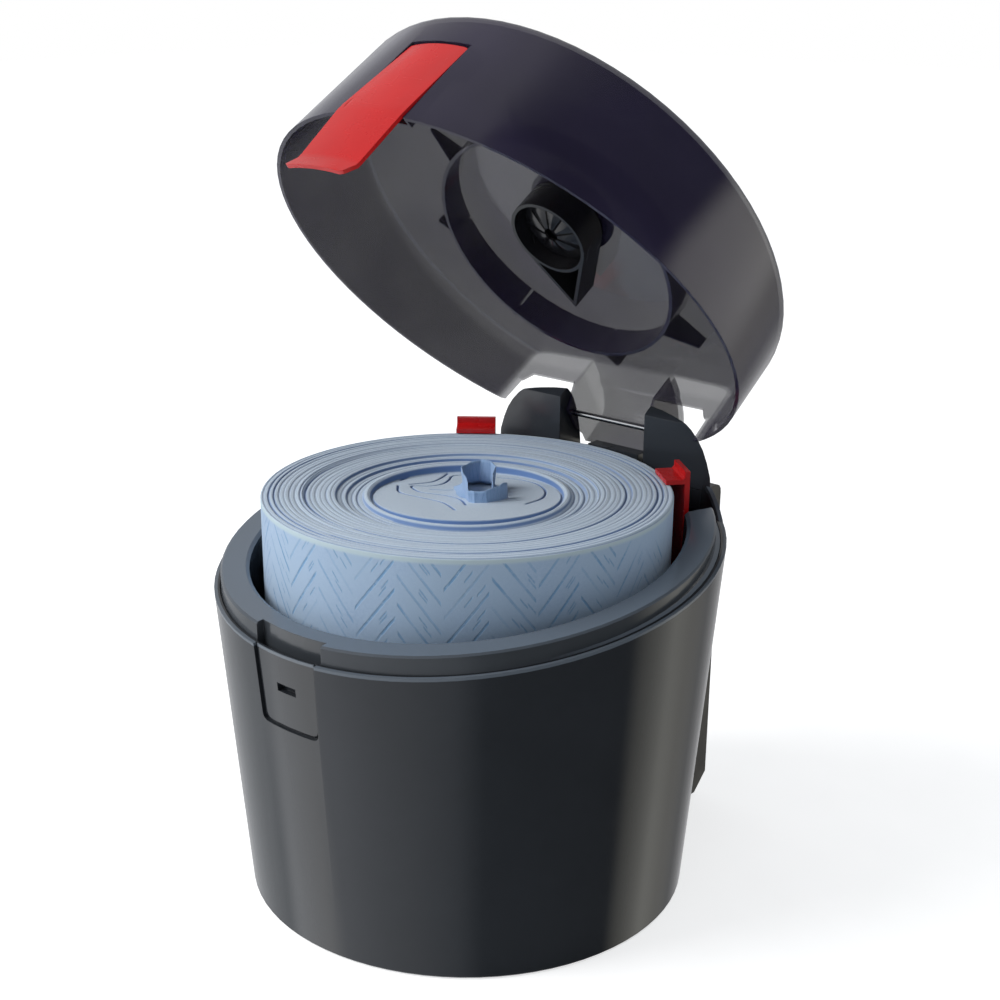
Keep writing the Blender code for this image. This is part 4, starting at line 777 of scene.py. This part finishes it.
def make_roll(material):
    """The wound roll: a spiral of ply edges, a stepped crest, a sunk middle with loose folds."""
    turns = np.linspace(0.0, math.tau, roll_steps, endpoint=False)
    radii = np.arange(roll_radius - roll_rim_inset, roll_eye_radius, -roll_row_width)
    x, y, z, upper_crease_shade = roll_upper_face(radii, turns)
    rows = []
    for row, level in enumerate(np.linspace(roll_foot, roll_top - side_top_drop, roll_side_rows)):
        wave = side_wave_height * np.sin(turns * side_waves + row * side_wave_shift)
        side = roll_radius - side_inset - np.abs(wave)
        rows.append(np.stack((side * np.sin(turns), -side * np.cos(turns), np.full(roll_steps, level)), 1))
    rows += [np.stack(upper, 1) for upper in zip(x, y, z)]
    vertices = [tuple(point) for point in np.concatenate(rows)]
    faces = []
    for row in range(len(rows) - 1):
        low = row * roll_steps
        high = low + roll_steps
        for i in range(roll_steps):
            j = (i + 1) % roll_steps
            faces.append((low + i, low + j, high + j, high + i))
    faces.append(tuple(reversed(range(roll_steps))))
    faces.append(tuple(range((len(rows) - 1) * roll_steps, len(rows) * roll_steps)))
    piece = new_piece("roll_of_wipes", vertices, faces, material, "wipe_roll")
    crease_shade = np.concatenate((np.zeros(roll_side_rows * roll_steps), upper_crease_shade.ravel()))
    layer = piece.data.attributes.new("crease_shade", "FLOAT", "POINT")
    layer.data.foreach_set("value", crease_shade.astype(np.float32))


def make_tail(material):
    """The pulled-up end of the first wipe: one crumpled sheet folded up in the roll's middle."""
    way = []
    for start, end in zip(tail_way[:-1], tail_way[1:]):
        for k in range(tail_parts):
            way.append([(a + (b - a) * k / tail_parts) * mm for a, b in zip(start, end)])
    way.append([part * mm for part in tail_way[-1]])
    floor = roll_top - roll_floor_drop
    vertices = []
    for row in range(tail_rows + 1):
        share = row / tail_rows
        for i, (x, y, high) in enumerate(way):
            ragged = tail_ragged * noise.noise(Vector((i * tail_ragged_scale, tail_ragged_seed, 0.0)))
            height = -tail_sink + (high + ragged + tail_sink) * share
            foot = max(0.0, 1.0 - abs(height) / tail_foot_height) ** 2
            spread = 1.0 + tail_flare * share
            spread += foot * (tail_foot_left if x < tail_foot_split else tail_foot_right)
            across = tail_middle + (x - tail_middle) * spread
            along = tail_middle + (y - tail_middle) * spread
            spot = Vector([part * scale for part, scale in zip((across, along, height), tail_crumple_scale)])
            crumple = tail_crumple * min(1.0, share * tail_crumple_gain)
            vertices.append((across + crumple * noise.noise(spot),
                             along + crumple * noise.noise(spot + Vector(tail_crumple_shift)),
                             floor + height))
    count = len(way)
    faces = []
    for row in range(tail_rows):
        for i in range(count - 1):
            low = row * count + i
            faces.append((low, low + 1, low + 1 + count, low + count))
    piece = new_piece("wipe_tail", vertices, faces, material, "roll_tail")
    piece.data.set_sharp_from_angle(angle=math.radians(tail_sharp_angle))
    solid = piece.modifiers.new("thickness", "SOLIDIFY")
    solid.thickness = tail_thickness
    solid.offset = 0.0


# Studio


def studio_world():
    """White for the camera, a studio round the object for its gloss, and soft plain light."""
    world = bpy.data.worlds.new("studio")
    bpy.context.scene.world = world
    world.use_nodes = True
    tree = world.node_tree
    tree.nodes.clear()
    direction = node(tree, "SeparateXYZ", node(tree, "TexCoord").outputs["Generated"])
    across, along, height = direction.outputs
    angle = maths(tree, "ARCTAN2", across, product(tree, along, -1.0))
    turn = maths(tree, "MULTIPLY_ADD", angle, 1 / math.tau, 0.5)
    beam = product(tree, span(tree, height, *beam_height), ramp(tree, turn, shades(white, beam_turns)))
    bands = blend_colour(tree, beam, ramp(tree, turn, studio_bands), beam_colour)
    low = fall(tree, height, *raised_height)
    mirrored = blend_colour(tree, low, ramp(tree, turn, studio_raised), bands)
    rays = node(tree, "LightPath")
    glossy = rays.outputs["Is Glossy Ray"]
    seen = maths(tree, "MAXIMUM", rays.outputs["Is Camera Ray"], rays.outputs["Is Transmission Ray"])
    shown = maths(tree, "MAXIMUM", seen, glossy)
    power = maths(tree, "MULTIPLY_ADD", glossy, gloss_gain, 1.0)
    backdrop = node(tree, "Background", blend_colour(tree, glossy, white, mirrored), power).outputs[0]
    ambient = node(tree, "Background", ambient_colour, ambient_power).outputs[0]
    node(tree, "OutputWorld", node(tree, "MixShader", shown, ambient, backdrop).outputs[0])


def studio_floor():
    """A plain pale floor, white to the camera and soft with the object's shadow."""
    mesh = bpy.data.meshes.new("floor")
    corners = [(x * floor_reach, y * floor_reach, 0) for x, y in ((-1, -1), (1, -1), (1, 1), (-1, 1))]
    mesh.from_pydata(corners, [], [(0, 1, 2, 3)])
    floor = bpy.data.objects.new("floor", mesh)
    bpy.context.scene.collection.objects.link(floor)
    material = bpy.data.materials.new("pale_floor")
    material.use_nodes = True
    tree = material.node_tree
    tree.nodes.clear()
    point = node(tree, "TexCoord").outputs["Object"]
    matt = ramp(tree, speckle(tree, point, scale=30.0), floor_shades)
    surface = node(tree, "BsdfDiffuse", matt, 0.0).outputs[0]
    rays = node(tree, "LightPath")
    shown = maths(tree, "MAXIMUM", rays.outputs["Is Camera Ray"], rays.outputs["Is Transmission Ray"])
    away = node(tree, "VectorMath", point, operation="LENGTH").outputs["Value"]
    bright = span(tree, away, *floor_glow_distance, *floor_glow)
    glow = node(tree, "Emission", white, product(tree, shown, bright)).outputs[0]
    lit = node(tree, "AddShader", surface, glow).outputs[0]
    clear = node(tree, "BsdfTransparent").outputs[0]
    mixed = node(tree, "MixShader", rays.outputs["Is Glossy Ray"], lit, clear).outputs[0]
    node(tree, "OutputMaterial", mixed)
    mesh.materials.append(material)


def area_lamp(name, place, size, power):
    """A soft lamp that faces the middle of the object."""
    data = bpy.data.lights.new(name, "AREA")
    data.shape = "DISK"
    data.size = size
    data.energy = power
    lamp = bpy.data.objects.new(name, data)
    lamp.location = place
    aim = Vector(lamp_aim) - Vector(place)
    lamp.rotation_euler = aim.to_track_quat("-Z", "Y").to_euler()
    lamp.visible_glossy = False
    bpy.context.scene.collection.objects.link(lamp)


def photo_camera():
    """The camera at the photograph's place and angle."""
    data = bpy.data.cameras.new("camera")
    data.lens = camera_lens
    data.sensor_width = camera_sensor
    data.shift_x, data.shift_y = camera_shift
    camera = bpy.data.objects.new("camera", data)
    camera.location = camera_place
    camera.rotation_euler = (math.radians(camera_pitch), 0.0, math.radians(camera_turn))
    bpy.context.scene.collection.objects.link(camera)
    bpy.context.scene.camera = camera


def dress():
    """Give every node its material, and replace the soft ones."""
    # The shell gets a pale painted highlight along its lip's outer edge
    shell = moulded_plastic("shell_grey", colour=(0.023, 0.026, 0.031), roughness=0.11, edge=0.45 * mm,
                            grain=0.005 * mm, painted_light_accent=(lip_painted_highlight, (0.120, 0.142, 0.170)))
    hinge_grey = moulded_plastic("hinge_grey", colour=(0.034, 0.039, 0.047), roughness=0.20, edge=0.45 * mm)
    # The ring gets a paler painted light on faces that look up
    ring = moulded_plastic("ring_grey", colour=(0.048, 0.054, 0.062), roughness=0.16, edge=0.6 * mm,
                           grain=0.005 * mm, painted_light_accent=(painted_top_light, (0.128, 0.155, 0.190)))
    support = moulded_plastic("support_grey", colour=(0.030, 0.032, 0.036), roughness=0.45, grain=0.03 * mm)
    bracket = moulded_plastic("bracket_black", colour=(0.010, 0.010, 0.011), roughness=0.42, edge=0.3 * mm,
                              grain=0.03 * mm)
    black = moulded_plastic("nozzle_black", colour=(0.012, 0.012, 0.014), roughness=0.22, edge=0.3 * mm,
                            grain=0.005 * mm)
    red = moulded_plastic("signal_red", colour=(0.600, 0.012, 0.013), roughness=0.24, edge=0.25 * mm,
                          grain=0.004 * mm)
    steel = drawn_steel("steel")
    smoke = smoke_plastic("lid_smoke")
    groups = (
        (shell, ("bucket_shell",)),
        (hinge_grey, ("hinge_block",)),
        (ring, ("liner_ring",)),
        (support, ("roll_rest", "clip_carrier_left", "clip_carrier_right")),
        (bracket, ("wall_bracket",)),
        (black, ("nozzle_body", "nozzle_collar", "nozzle_crown", "rod_cap_left", "rod_cap_right")),
        (red, ("latch_lever", "roll_clip_left", "roll_clip_right")),
        (steel, ("hinge_screw_1", "hinge_screw_2", "hinge_screw_3", "hinge_screw_4", "hinge_rod", "latch_pin",
                 "latch_spring", "clip_pin_left", "clip_pin_right", "clip_spring_left", "clip_spring_right")),
        (smoke, ("lid_shell",)),
    )
    for material, cad_nodes in groups:
        for cad_node in cad_nodes:
            welded_copy(cad_node, material)
    make_roll(wipe_paper("roll_paper", roll=True))
    make_tail(wipe_paper("tail_paper", roll=False))


def main():
    """The whole scene."""
    photo_camera()
    studio_world()
    studio_floor()
    area_lamp("key_lamp", key_place, key_size, key_power)
    area_lamp("fill_lamp", fill_place, fill_size, fill_power)
    dress()
    bpy.context.scene.view_settings.view_transform = "Standard"


main()
